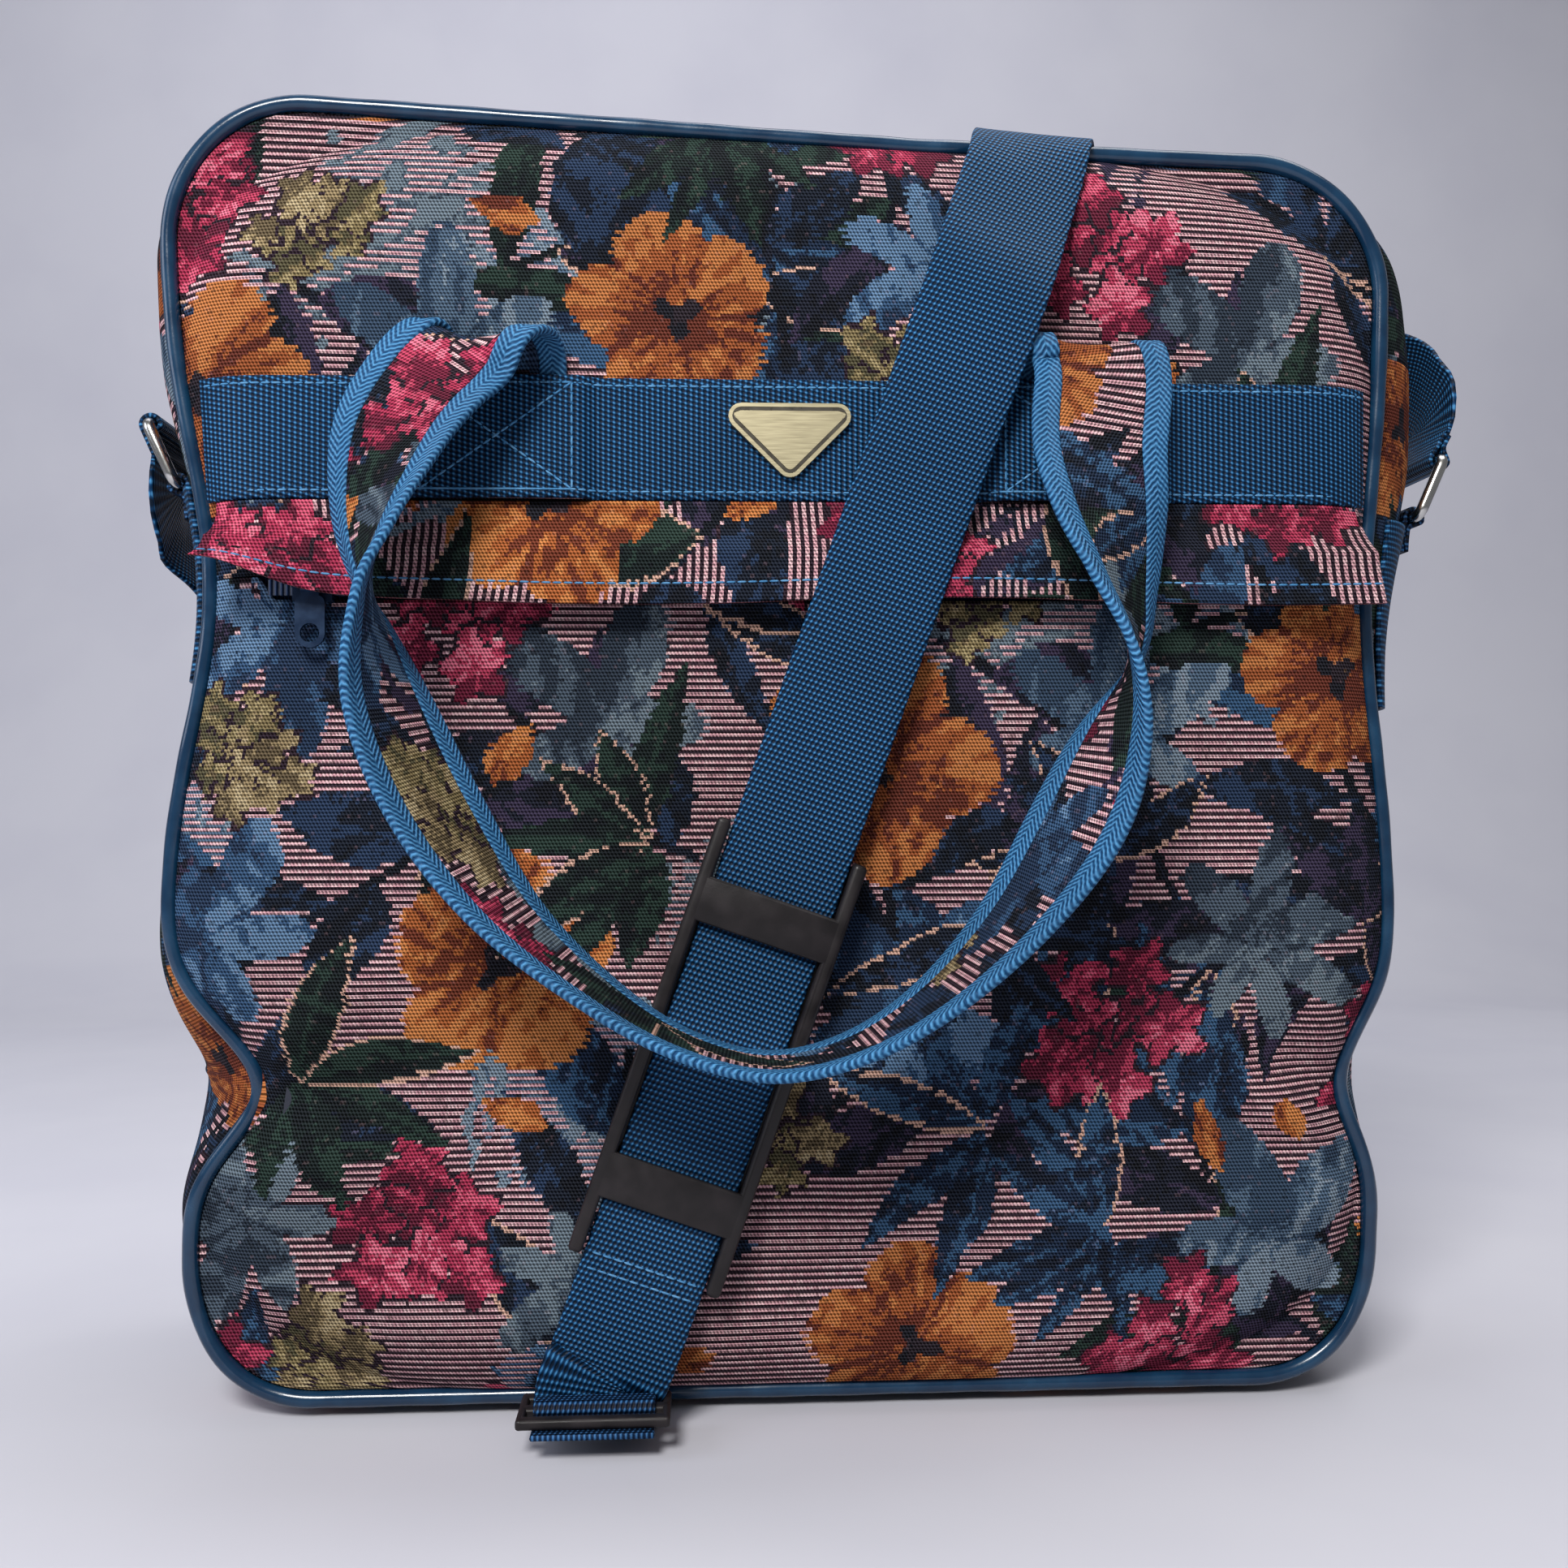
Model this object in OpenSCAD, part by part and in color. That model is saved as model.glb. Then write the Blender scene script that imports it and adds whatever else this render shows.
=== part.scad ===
// Tapestry shoulder bag standing on its base, front towards -Y, +X to the viewer's right, +Z up.
// The origin is the middle of the base on the floor. All sizes are in millimetres.

/* [Body] */
// Width over the side seams at the widest height
bag_w = 390; // [340:1:440]
// Height from the lower seam to the upper seam at mid width
bag_h = 398; // [370:1:440]
// Depth between the two piped seams
bag_d = 110; // [96:1:140]
// Height of the lower seam above the floor
seam_z = 5; // [4:0.5:8]
// Fall of the top edge towards the right, in degrees
top_tilt = 1.6; // [0:0.1:3]
// Corner radius of the panels
corner_r = 43; // [30:1:60]
// Pillow of the front panel ahead of its seam
front_bulge = 13; // [9:0.5:18]
// Pillow of the back panel behind its seam
back_bulge = 10; // [6:0.5:16]
// Largest bulge of the side gusset beyond the seams
side_bulge = 28; // [18:1:34]
// Thickness of the tapestry cloth
cloth_t = 2; // [1.2:0.1:2.4]
// Dip of the top gusset between the seams
top_sag = 3; // [1:0.5:5]

/* [Slump] */
// Waist of the left side at the flap
waist_left = 14; // [0:1:20]
// Waist of the right side at the flap
waist_right = 7; // [0:1:14]
// Pinch low on the left side
pinch_left = 28; // [0:1:32]
// Pinch low on the right side
pinch_right = 16; // [0:1:24]
// Depth of the soft creases in the pocket panel
crease_depth = 4; // [0:0.5:6]

/* [Trim] */
// Radius of the piping cord
pipe_r = 2.5; // [2:0.1:3]
// Width of the webbing
web_w = 38; // [30:1:40]
// Thickness of the webbing
web_t = 1.6; // [1.2:0.1:2]
// Height of the middle of the front band
band_z = 303; // [285:1:315]
// Height of the lower edge of the flap
flap_z = 252; // [245:1:260]
// Stand-off of the lower edge of the flap from the panel
flap_stand = 7; // [6:0.5:9]
// Width of the metal badge
badge_w = 38; // [28:1:44]
// Thickness of the metal badge
badge_t = 1.8; // [1:0.1:2.5]

/* [Handles] */
// Half the spacing of the handle roots
handle_x = 90; // [86:1:100]
// Whole width of a handle with its bindings
handle_w = 43; // [34:1:44]
// Width of one binding
bind_w = 9; // [6:0.5:11]
// Thickness of the handle cloth
handle_t = 2.2; // [1.6:0.1:2.4]
// Drop of the front handle below the middle of the band
handle_drop = 187; // [165:1:195]
// How far the front handle stands off at its lowest point
handle_out = 41; // [34:1:46]

/* [Strap and pad] */
// Place of the strap across the front at the flap edge
strap_x = 26; // [18:1:34]
// Lean of the strap from upright, in degrees
strap_lean = 19.5; // [16:0.5:22]
// Length of the shoulder pad
pad_len = 137; // [110:1:145]
// Width of the shoulder pad
pad_w = 48; // [46:1:54]
// Height of the middle of the pad
pad_z = 114; // [106:1:122]
// Where the strap passes under the base
lane_x = -60; // [-75:1:-50]

/* [Zips] */
// Place of the pocket slider along its zip
pocket_slider_in = 49; // [45:1:65]
// Place of the main slider along its zip
main_slider_in = 77; // [70:1:95]
// Width of a zip pull
pull_w = 9; // [7:0.5:11]
// Length of a zip pull below its pivot
pull_len = 19; // [15:0.5:22]

/* [Rings] */
// Height of the left ring's lower bar
ring_left_z = 299; // [290:1:305]
// Height of the right ring's lower bar
ring_right_z = 290; // [282:1:298]
// Outward lean of the rings, in degrees
ring_lean = 24; // [10:1:30]
// Radius of the ring wire
ring_wire_r = 2; // [1.5:0.1:2.4]
// Height of a ring between its bar axes
ring_h = 22; // [18:1:26]

/* [Hidden] */
$fn = 32;
hd = bag_d / 2;
gap = 0.3;
rim_in = pipe_r + gap;
front_y = -hd - front_bulge;
back_y = hd + back_bulge;
zip_z = flap_z + 5;
slit_half = 3.8;
tape_half = 10;
tape_t = 0.7;
coil_half = 2.4;
coil_t = 1.8;
zip_run = bag_w / 2 - corner_r + 8;
lane_half = web_w / 2 + 1.5;
lane_ramp = 3;
lane_depth = web_t + 0.5;
waist_v = 0.628;
waist_spread_share = 0.15;
pinch_v = 0.244;
pinch_spread_share = 0.066;
foot_v = 0.09;
foot_spread_share = 0.1;
foot_share = 0.02;
back_pinch_share = 0.3;
bulge_left_shares = [[0, 0.2], [0.1, 0.3], [0.17, 0.5], [0.244, 0.85], [0.32, 0.6], [0.39, 0.42], [0.53, 0.3],
    [0.66, 0.36], [0.74, 0.42], [0.8, 0.52], [0.9, 0.48], [1, 0]];
bulge_right_shares = [[0, 0.2], [0.1, 0.26], [0.244, 0.5], [0.36, 0.28], [0.48, 0.32], [0.6, 0.6], [0.7, 0.9],
    [0.76, 1], [0.84, 0.94], [0.93, 0.7], [1, 0]];
plateau_power = 6;
plateau_gain = 1.5;
column_shares = [-1, -0.97, -0.93, -0.87, -0.78, -0.62, -0.42, -0.2, 0, 0.2, 0.42, 0.62, 0.78, 0.87, 0.93,
    0.97, 1];
across_shares = [-1, -0.95, -0.82, -0.6, -0.3, 0, 0.3, 0.6, 0.82, 0.95, 1];
corner_steps = 5;
side_steps = 16;
// Creases of the pocket panel as shares of the half width and the height: start, end, spread, depth
crease_shares = [[0.92, 0.23, 0.62, 0.38, 0.035, 1], [-0.86, 0.24, -0.56, 0.27, 0.035, 0.9],
    [-0.8, 0.13, -0.45, 0.16, 0.03, 0.5], [0.25, 0.1, 0.8, 0.13, 0.03, 0.5],
    [0.2, 0.24, 0.6, 0.21, 0.03, 0.45]];

function lerp(a, b, t) = a + (b - a) * t;
function bump(d, w) = exp(-(d / w) * (d / w));
function unit(p) = p / norm(p);
function level(x) = bag_h - x * tan(top_tilt);
function z_of(x, v) = seam_z + v * level(x);
function v_of(x, z) = (z - seam_z) / level(x);

// Inward shift of a side seam at the share v of the height; k is the share of the pinch that is kept
function shift(v, waist, pinch, k) = waist * bump(v - waist_v, waist_spread_share)
    + k * pinch * bump(v - pinch_v, pinch_spread_share)
    + foot_share * bag_w * bump(v - foot_v, foot_spread_share);
function slope(v, waist, pinch, k) =
    (shift(v + 0.01, waist, pinch, k) - shift(v - 0.01, waist, pinch, k)) / (0.02 * bag_h);
function corner(v, e) = let(reach = min(v, 1 - v) * bag_h - e, r = corner_r - e, d = max(0, r - reach))
    r - sqrt(max(0, r * r - d * d));
function inset(v, e, waist, pinch, k) = let(m = slope(v, waist, pinch, k)) e * sqrt(1 + m * m);
function left_x(v, e = 0, k = 1) = -bag_w / 2 + shift(v, waist_left, pinch_left, k)
    + inset(v, e, waist_left, pinch_left, k) + corner(v, e);
function right_x(v, e = 0, k = 1) = bag_w / 2 - shift(v, waist_right, pinch_right, k)
    - inset(v, e, waist_right, pinch_right, k) - corner(v, e);

// Heights of the rows, closer in the corners
function rows(e) = let(r = corner_r - e, r_v = r / bag_h, e_v = e / bag_h)
    concat([for (i = [0 : corner_steps]) e_v + r_v * (1 - cos(i * 90 / corner_steps))],
    [for (i = [1 : side_steps - 1]) lerp(e_v + r_v, 1 - e_v - r_v, i / side_steps)],
    [for (i = [corner_steps : -1 : 0]) 1 - e_v - r_v * (1 - cos(i * 90 / corner_steps))]);

// Outer face of the front panel
function pillow(u, w) = let(q = max(0, 1 - pow(abs(u), plateau_power) - pow(abs(w), plateau_power)),
    g = min(1, plateau_gain * q)) 1 - (1 - g) * (1 - g);
function crease(x, z, c) = let(a = [c[0] * bag_w / 2, c[1] * bag_h], b = [c[2] * bag_w / 2, c[3] * bag_h],
    t = max(0, min(1, ([x, z] - a) * (b - a) / ((b - a) * (b - a)))), d = norm([x, z] - lerp(a, b, t)))
    c[5] * crease_depth * bump(d, c[4] * bag_h) * (1 - 0.7 * t);
function creases(x, z, i = 0) = i >= len(crease_shares) ? 0
    : crease(x, z, crease_shares[i]) + creases(x, z, i + 1);
function pillow_at(x, z, k) = let(v = max(0, min(1, v_of(x, z))), l = left_x(v, 0, k), r = right_x(v, 0, k))
    pillow((2 * x - l - r) / max(1, r - l), 2 * v - 1);
function face_y(x, z) = let(p = pillow_at(x, z, 1)) -hd - front_bulge * p + min(1, p) * creases(x, z);
function rear_y(x, z) = hd + back_bulge * pillow_at(x, z, back_pinch_share);

// Closed shell between two grids of points with the same rows and columns
module shell(outer, inner) {
    n = len(outer);
    m = len(outer[0]);
    function at(f, i, j) = f * n * m + i * m + j;
    points = concat([for (r = outer) for (p = r) p], [for (r = inner) for (p = r) p]);
    faces = concat(
        [for (i = [0 : n - 2]) for (j = [0 : m - 2]) for (q = [
            [at(0, i, j), at(0, i + 1, j), at(0, i + 1, j + 1)],
            [at(0, i, j), at(0, i + 1, j + 1), at(0, i, j + 1)],
            [at(1, i, j), at(1, i + 1, j + 1), at(1, i + 1, j)],
            [at(1, i, j), at(1, i, j + 1), at(1, i + 1, j + 1)]
            ]) q],
        [for (i = [0 : n - 2]) for (q = [
            [at(0, i, 0), at(1, i + 1, 0), at(0, i + 1, 0)], [at(0, i, 0), at(1, i, 0), at(1, i + 1, 0)],
            [at(0, i, m - 1), at(0, i + 1, m - 1), at(1, i + 1, m - 1)],
            [at(0, i, m - 1), at(1, i + 1, m - 1), at(1, i, m - 1)]]) q],
        [for (j = [0 : m - 2]) for (q = [
            [at(0, 0, j), at(0, 0, j + 1), at(1, 0, j + 1)], [at(0, 0, j), at(1, 0, j + 1), at(1, 0, j)],
            [at(0, n - 1, j), at(1, n - 1, j + 1), at(0, n - 1, j + 1)],
            [at(0, n - 1, j), at(1, n - 1, j), at(1, n - 1, j + 1)]]) q]);
    polyhedron(points = points, faces = faces, convexity = 10);
}

// Ring of round sections along a closed path of [point, outward direction]
module cord(path, r, sides) {
    n = len(path);
    points = [for (p = path) for (i = [0 : sides - 1]) let(a = i * 360 / sides)
        p[0] + r * (cos(a) * p[1] + sin(a) * [0, 1, 0])];
    faces = [for (i = [0 : n - 1]) for (j = [0 : sides - 1]) let(k = (i + 1) % n, l = (j + 1) % sides)
        for (q = [[i * sides + j, i * sides + l, k * sides + l],
            [i * sides + j, k * sides + l, k * sides + j]]) q];
    polyhedron(points = points, faces = faces, convexity = 10);
}

// Smooth curve through the rows of a table, with a number of steps between two rows
function curve_at(a, b, c, d, t) = 0.5 * (2 * b + (c - a) * t + (2 * a - 5 * b + 4 * c - d) * t * t
    + (3 * b - a - 3 * c + d) * t * t * t);
function curve(p, steps) = let(n = len(p))
    concat([for (i = [0 : n - 2]) for (j = [0 : steps - 1])
        curve_at(p[max(0, i - 1)], p[i], p[i + 1], p[min(n - 1, i + 2)], j / steps)], [p[n - 1]]);

// Flat ribbon: rows of [point, width direction], from w0 to w1 across and t thick
module ribbon(rows_in, w0, w1, t) {
    n = len(rows_in);
    frames = [for (i = [0 : n - 1]) let(p = rows_in[i][0],
        along = unit(rows_in[min(n - 1, i + 1)][0] - rows_in[max(0, i - 1)][0]),
        w = unit(rows_in[i][1] - (rows_in[i][1] * along) * along)) [p, w, cross(w, along)]];
    outer = [for (f = frames) [f[0] + w0 * f[1] + t / 2 * f[2], f[0] + w1 * f[1] + t / 2 * f[2]]];
    inner = [for (f = frames) [f[0] + w0 * f[1] - t / 2 * f[2], f[0] + w1 * f[1] - t / 2 * f[2]]];
    shell(outer, inner);
}

// Seam outline as [x, z] points: up the left, along the top, down the right, back along the bottom
top_steps = 8;
foot_steps = 5;
row_list = rows(0);
row_count = len(row_list);
function seam_left(k) = [for (v = row_list) let(x = left_x(v, 0, k)) [x, z_of(x, v)]];
function seam_right(k) = [for (i = [row_count - 1 : -1 : 0]) let(v = row_list[i], x = right_x(v, 0, k))
    [x, z_of(x, v)]];
function seam_top(k) = let(a = left_x(1, 0, k), b = right_x(1, 0, k))
    [for (i = [1 : top_steps - 1]) let(x = lerp(a, b, i / top_steps)) [x, z_of(x, 1)]];
function seam_foot(k) = let(a = right_x(0, 0, k), b = left_x(0, 0, k), far = lane_half + lane_ramp)
    [for (x = concat([for (i = [1 : foot_steps]) lerp(a, lane_x + far, i / foot_steps)],
    [lane_x + lane_half, lane_x - lane_half],
    [for (i = [0 : foot_steps - 1]) lerp(lane_x - far, b, i / foot_steps)])) [x, z_of(x, 0)]];
function seam(k) = concat(seam_left(k), seam_top(k), seam_right(k), seam_foot(k));
front_seam = seam(1);
back_seam = seam(back_pinch_share);
seam_count = len(front_seam);
join_row = row_count - corner_steps - 2;
first_top = join_row;
last_top = 2 * row_count + top_steps - 2 - join_row;
function seam_out(list, i) = let(a = list[(i + seam_count - 1) % seam_count], b = list[(i + 1) % seam_count],
    d = unit(b - a)) [-d[1], d[0]];

// How far the gusset stands out beyond the seams at a seam point
function side_swell(v, shares) = v > 0.999 ? -top_sag : side_bulge * lookup(v, shares);
function swell(i) = i < row_count ? side_swell(row_list[i], bulge_left_shares)
    : i < row_count + top_steps - 1 ? -top_sag
    : i < 2 * row_count + top_steps - 1
        ? side_swell(row_list[2 * row_count + top_steps - 2 - i], bulge_right_shares)
    : seam_z + 2.5;
function lane_at(x) = let(d = abs(x - lane_x)) d <= lane_half + 0.01 ? lane_depth : 0;
function gusset_at(i0, s, off) = let(i = i0 % seam_count, f = front_seam[i], b = back_seam[i],
    n = unit(lerp(seam_out(front_seam, i), seam_out(back_seam, i), (s + 1) / 2)),
    m = swell(i) * sqrt(max(0, 1 - s * s)), p = lerp(f, b, (s + 1) / 2) + m * n,
    floor_z = lane_at(p[0]), q = [p[0], max(p[1], floor_z)] + off * n)
    [q[0], s * (hd - rim_in), q[1]];

// Panels
function panel_grid(list, e, offset) = [for (v = list) let(l = left_x(v, e), r = right_x(v, e))
    [for (s = column_shares) let(x = lerp(l, r, (s + 1) / 2), z = z_of(x, v))
    [x, face_y(x, z) + offset, z]]];
panel_rows = rows(rim_in);
slit_top_v = (zip_z + slit_half - seam_z) / bag_h;
slit_foot_v = (zip_z - slit_half - seam_z) / bag_h;
function level_row(z, e, offset) = let(v = v_of(0, z), l = left_x(v, e), r = right_x(v, e))
    [for (s = column_shares) let(x = lerp(l, r, (s + 1) / 2)) [x, face_y(x, z) + offset, z]];
upper_rows = [for (v = panel_rows) if (v > slit_top_v + 0.012) v];
lower_rows = [for (v = panel_rows) if (v < slit_foot_v - 0.012) v];

module front_panel() {
    color("rosybrown")
    shell(concat([level_row(zip_z + slit_half, rim_in, 0)], panel_grid(upper_rows, rim_in, 0)),
        concat([level_row(zip_z + slit_half, rim_in, cloth_t)], panel_grid(upper_rows, rim_in, cloth_t)));
}

module pocket_panel() {
    color("rosybrown")
    shell(concat(panel_grid(lower_rows, rim_in, 0), [level_row(zip_z - slit_half, rim_in, 0)]),
        concat(panel_grid(lower_rows, rim_in, cloth_t), [level_row(zip_z - slit_half, rim_in, cloth_t)]));
}

lining_in = 14;
lining_back = cloth_t + 4;
lining_t = 0.8;
lining_steps = 7;
lining_rows = [for (i = [0 : lining_steps]) lerp(lining_in / bag_h, slit_foot_v - 0.03, i / lining_steps)];
lining_last = len(column_shares) - 1;
// The lining lies against the pocket panel around its edge and stands free of it in the middle
function lining_grid(extra) = [for (i = [0 : lining_steps]) let(v = lining_rows[i], l = left_x(v, lining_in),
    r = right_x(v, lining_in)) [for (j = [0 : lining_last]) let(x = lerp(l, r, (column_shares[j] + 1) / 2),
    z = z_of(x, v), edge = i == 0 || i == lining_steps || j == 0 || j == lining_last)
    [x, face_y(x, z) + (edge ? cloth_t + 7 * gap : lining_back) + extra, z]]];

module pocket_lining() {
    color("dimgray")
    shell(lining_grid(0), lining_grid(lining_t));
}

function rear_grid(offset) = [for (v = panel_rows) let(l = left_x(v, rim_in, back_pinch_share),
    r = right_x(v, rim_in, back_pinch_share)) [for (s = column_shares) let(x = lerp(l, r, (s + 1) / 2),
    z = z_of(x, v)) [x, rear_y(x, z) - offset, z]]];

module back_panel() {
    color("rosybrown") shell(rear_grid(cloth_t), rear_grid(0));
}

// Gusset strips
module strip(first, last, shares) {
    outer = [for (i = [first : last]) [for (s = shares) gusset_at(i, s, 0)]];
    inner = [for (i = [first : last]) [for (s = shares) gusset_at(i, s, -cloth_t)]];
    shell(inner, outer);
}

module lower_gusset() {
    color("rosybrown") strip(last_top, seam_count + first_top, across_shares);
}

zip_lip_share = 5 / hd;
join_gap = 1;
function top_grid(shares, off) = [for (i = [first_top : last_top]) [for (s = shares)
    let(p = gusset_at(i, s, off)) i == first_top || i == last_top ? p + [0, 0, join_gap] : p]];
front_strip_shares = [-1, -0.8, -0.5, -zip_lip_share];
rear_strip_shares = [zip_lip_share, 0.5, 0.8, 1];

module top_gusset_front() {
    color("rosybrown") shell(top_grid(front_strip_shares, -cloth_t), top_grid(front_strip_shares, 0));
}

module top_gusset_rear() {
    color("rosybrown") shell(top_grid(rear_strip_shares, -cloth_t), top_grid(rear_strip_shares, 0));
}

// Piping cords on the two seams
pipe_sides = 8;

module front_piping() {
    color("steelblue")
    cord([for (i = [0 : seam_count - 1]) let(p = front_seam[i], n = seam_out(front_seam, i))
        [[p[0], -hd, p[1]], [n[0], 0, n[1]]]], pipe_r, pipe_sides);
}

module back_piping() {
    color("steelblue")
    cord([for (i = [0 : seam_count - 1]) let(p = back_seam[i], n = seam_out(back_seam, i))
        [[p[0], hd, p[1]], [n[0], 0, n[1]]]], pipe_r, pipe_sides);
}

// Webbing bands over the panels, lifted over the handle roots
bind_t = handle_t + 0.7;
root_lift = bind_t + 2 * gap;
lift_ramp = 8;
band_steps = 56;
band_end = 4;
function lift_at(x) = let(d = abs(abs(x) - handle_x) - handle_w / 2 - 2)
    d <= 0 ? root_lift : root_lift * max(0, 1 - d / lift_ramp);
function band_row(z, rear, off) = let(v = v_of(0, z), k = rear ? back_pinch_share : 1,
    l = left_x(v, rim_in + band_end, k), r = right_x(v, rim_in + band_end, k))
    [for (i = [0 : band_steps]) let(x = lerp(l, r, i / band_steps), d = gap + lift_at(x) + off)
    [x, rear ? rear_y(x, z) + d : face_y(x, z) - d, z]];
band_low = band_z - web_w / 2;
band_high = band_z + web_w / 2;

module front_band() {
    color("steelblue")
    shell([band_row(band_low, false, web_t), band_row(band_high, false, web_t)],
        [band_row(band_low, false, 0), band_row(band_high, false, 0)]);
}

module back_band() {
    color("steelblue")
    shell([band_row(band_low, true, 0), band_row(band_high, true, 0)],
        [band_row(band_low, true, web_t), band_row(band_high, true, web_t)]);
}

// Flap over the pocket zip: sewn along its upper edge, standing off at its lower edge
flap_steps = 24;
flap_rows = 4;
flap_lift = 9;
flap_rise = 11;
flap_lift_spread = 24;
flap_over = 3;
flap_left_over = 4;
function flap_row(t, off) = let(z0 = lerp(band_low - gap, flap_z, t), v = v_of(0, z0),
    l = left_x(v, rim_in + band_end) - flap_left_over * t * t,
    r = right_x(v, rim_in + band_end) + flap_over * t)
    [for (i = [0 : flap_steps]) let(x = lerp(l, r, i / flap_steps),
    curl = t * t * bump(x - l, flap_lift_spread),
    straight = front_y - gap - flap_stand * min(1, 2 * t) - flap_lift * curl,
    follow = face_y(x, z0) - gap) [x, lerp(follow, straight, min(1, 2 * t)) - off, z0 + flap_rise * curl]];

module flap() {
    color("rosybrown")
    shell([for (i = [flap_rows : -1 : 0]) flap_row(i / flap_rows, cloth_t - 0.4)],
        [for (i = [flap_rows : -1 : 0]) flap_row(i / flap_rows, 0)]);
}

// Badge: bare bevelled metal plate, a triangle with round corners pointing down
badge_r = 4;
badge_top = 10;
badge_foot = 13;
badge_y = front_y - gap - web_t - gap;
badge_x = badge_w / 2 - badge_r;

badge_steps = 6;
badge_low = badge_r - badge_foot;
badge_high = badge_top - badge_r;
badge_turn = 90 - atan((badge_high - badge_low) / badge_x);
function badge_arc(p, r, from, to) = [for (i = [0 : badge_steps]) let(a = lerp(from, to, i / badge_steps))
    p + r * [cos(a), sin(a)]];

module badge_shape(r) {
    polygon(concat(badge_arc([badge_x, badge_high], r, -badge_turn, 90),
        badge_arc([-badge_x, badge_high], r, 90, 180 + badge_turn),
        badge_arc([0, badge_low], r, 180 + badge_turn, 360 - badge_turn)));
}

badge_rim = 1.2;
badge_groove = 0.4;

module badge() {
    color("khaki")
    translate([0, badge_y, band_z + 1])
    rotate([90, 0, 0])
    difference() {
        linear_extrude(height = badge_t) badge_shape(badge_r);
        translate([0, 0, badge_t - badge_groove])
        linear_extrude(height = badge_t) difference() {
            badge_shape(badge_r - badge_rim);
            badge_shape(badge_r - 2 * badge_rim);
        }
    }
}

// Handles: shares of the root spacing, the stand-off and the drop, and the turn of the width
root_y = gap + bind_t / 2;
handle_shares = [[-1, 0, -0.0695, 0], [-1, 0, 0.107, 0], [-1.005, 0.0366, 0.1524, 0],
    [-1.03, 0.1463, 0.1711, 0], [-1.09, 0.2683, 0.1578, 4], [-1.2, 0.378, 0.0909, 9],
    [-1.3, 0.5122, -0.0053, 20], [-1.35, 0.6341, -0.1123, 42], [-1.36, 0.7561, -0.2193, 66],
    [-1.345, 0.8293, -0.3102, 90], [-1.28, 0.878, -0.4545, 115], [-1.13, 0.8902, -0.615, 121],
    [-0.91, 0.9146, -0.7701, 112],
    [-0.62, 0.9512, -0.893, 101], [-0.36, 0.9756, -0.9679, 94], [-0.09, 1, -1, 90],
    [0.18, 0.9756, -0.9733, 86], [0.44, 0.9512, -0.8984, 79], [0.69, 0.9146, -0.7807, 69],
    [0.89, 0.8902, -0.6364, 60], [1.01, 0.878, -0.4973, 75], [1.085, 0.8415, -0.3636, 110],
    [1.065, 0.7561, -0.246, 133], [1.035, 0.6585, -0.1283, 158], [1.025, 0.5122, -0.0267, 173],
    [1.055, 0.3659, 0.0963, 178],
    [1.05, 0.2683, 0.1551, 181], [1.03, 0.1463, 0.1711, 180], [1.005, 0.0366, 0.1524, 180],
    [1, 0, 0.107, 180], [1, 0, -0.0695, 180]];
handle_curve = curve(handle_shares, 2);
front_handle_rows = [for (p = handle_curve) [[p[0] * handle_x, front_y - root_y - p[1] * handle_out,
    band_z + p[2] * handle_drop],
    [cos(p[3]), -sin(p[3]), 0]]];
// The rear handle hangs flat behind the back panel
rear_shares = [[-1, 0, -0.0695], [-1, 0, 0.107], [-1.005, 0.0366, 0.1524], [-1.01, 0.1463, 0.1711],
    [-1.02, 0.2561, 0.1551], [-1.03, 0.2805, 0.0856], [-1.06, 0.2317, -0.0642], [-1.08, 0.2195, -0.2674],
    [-1.04, 0.2195, -0.4492], [-0.88, 0.2195, -0.631], [-0.52, 0.2195, -0.7594], [0, 0.2195, -0.8021],
    [0.52, 0.2195, -0.7594], [0.88, 0.2195, -0.631], [1.04, 0.2195, -0.4492], [1.08, 0.2195, -0.2674],
    [1.06, 0.2317, -0.0642], [1.03, 0.2805, 0.0856], [1.02, 0.2561, 0.1551], [1.01, 0.1463, 0.1711],
    [1.005, 0.0366, 0.1524], [1, 0, 0.107], [1, 0, -0.0695]];
rear_curve = curve(rear_shares, 2);
rear_count = len(rear_curve);
rear_line = [for (p = rear_curve) [p[0] * handle_x, back_y + root_y + p[1] * handle_out,
    band_z + p[2] * handle_drop]];
function rear_across(i) = let(a = rear_line[max(0, i - 1)], b = rear_line[min(rear_count - 1, i + 1)],
    d = b - a, flat = [d[0], 0, d[2]]) i < 8 ? [1, 0, 0] : i > rear_count - 9 ? [-1, 0, 0]
    : unit([-flat[2], 0, flat[0]]);
rear_handle_rows = [for (i = [0 : rear_count - 1]) [rear_line[i], rear_across(i)]];
core_half = handle_w / 2 - bind_w;
bind_gap = 0.15;

module front_handle() {
    color("rosybrown") ribbon(front_handle_rows, -core_half, core_half, handle_t);
}

module front_binding_outer() {
    color("cornflowerblue") ribbon(front_handle_rows, -handle_w / 2, -core_half - bind_gap, bind_t);
}

module front_binding_inner() {
    color("cornflowerblue") ribbon(front_handle_rows, core_half + bind_gap, handle_w / 2, bind_t);
}

module back_handle() {
    color("rosybrown") ribbon(rear_handle_rows, -core_half, core_half, handle_t);
}

module back_binding_outer() {
    color("cornflowerblue") ribbon(rear_handle_rows, -handle_w / 2, -core_half - bind_gap, bind_t);
}

module back_binding_inner() {
    color("cornflowerblue") ribbon(rear_handle_rows, core_half + bind_gap, handle_w / 2, bind_t);
}

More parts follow.
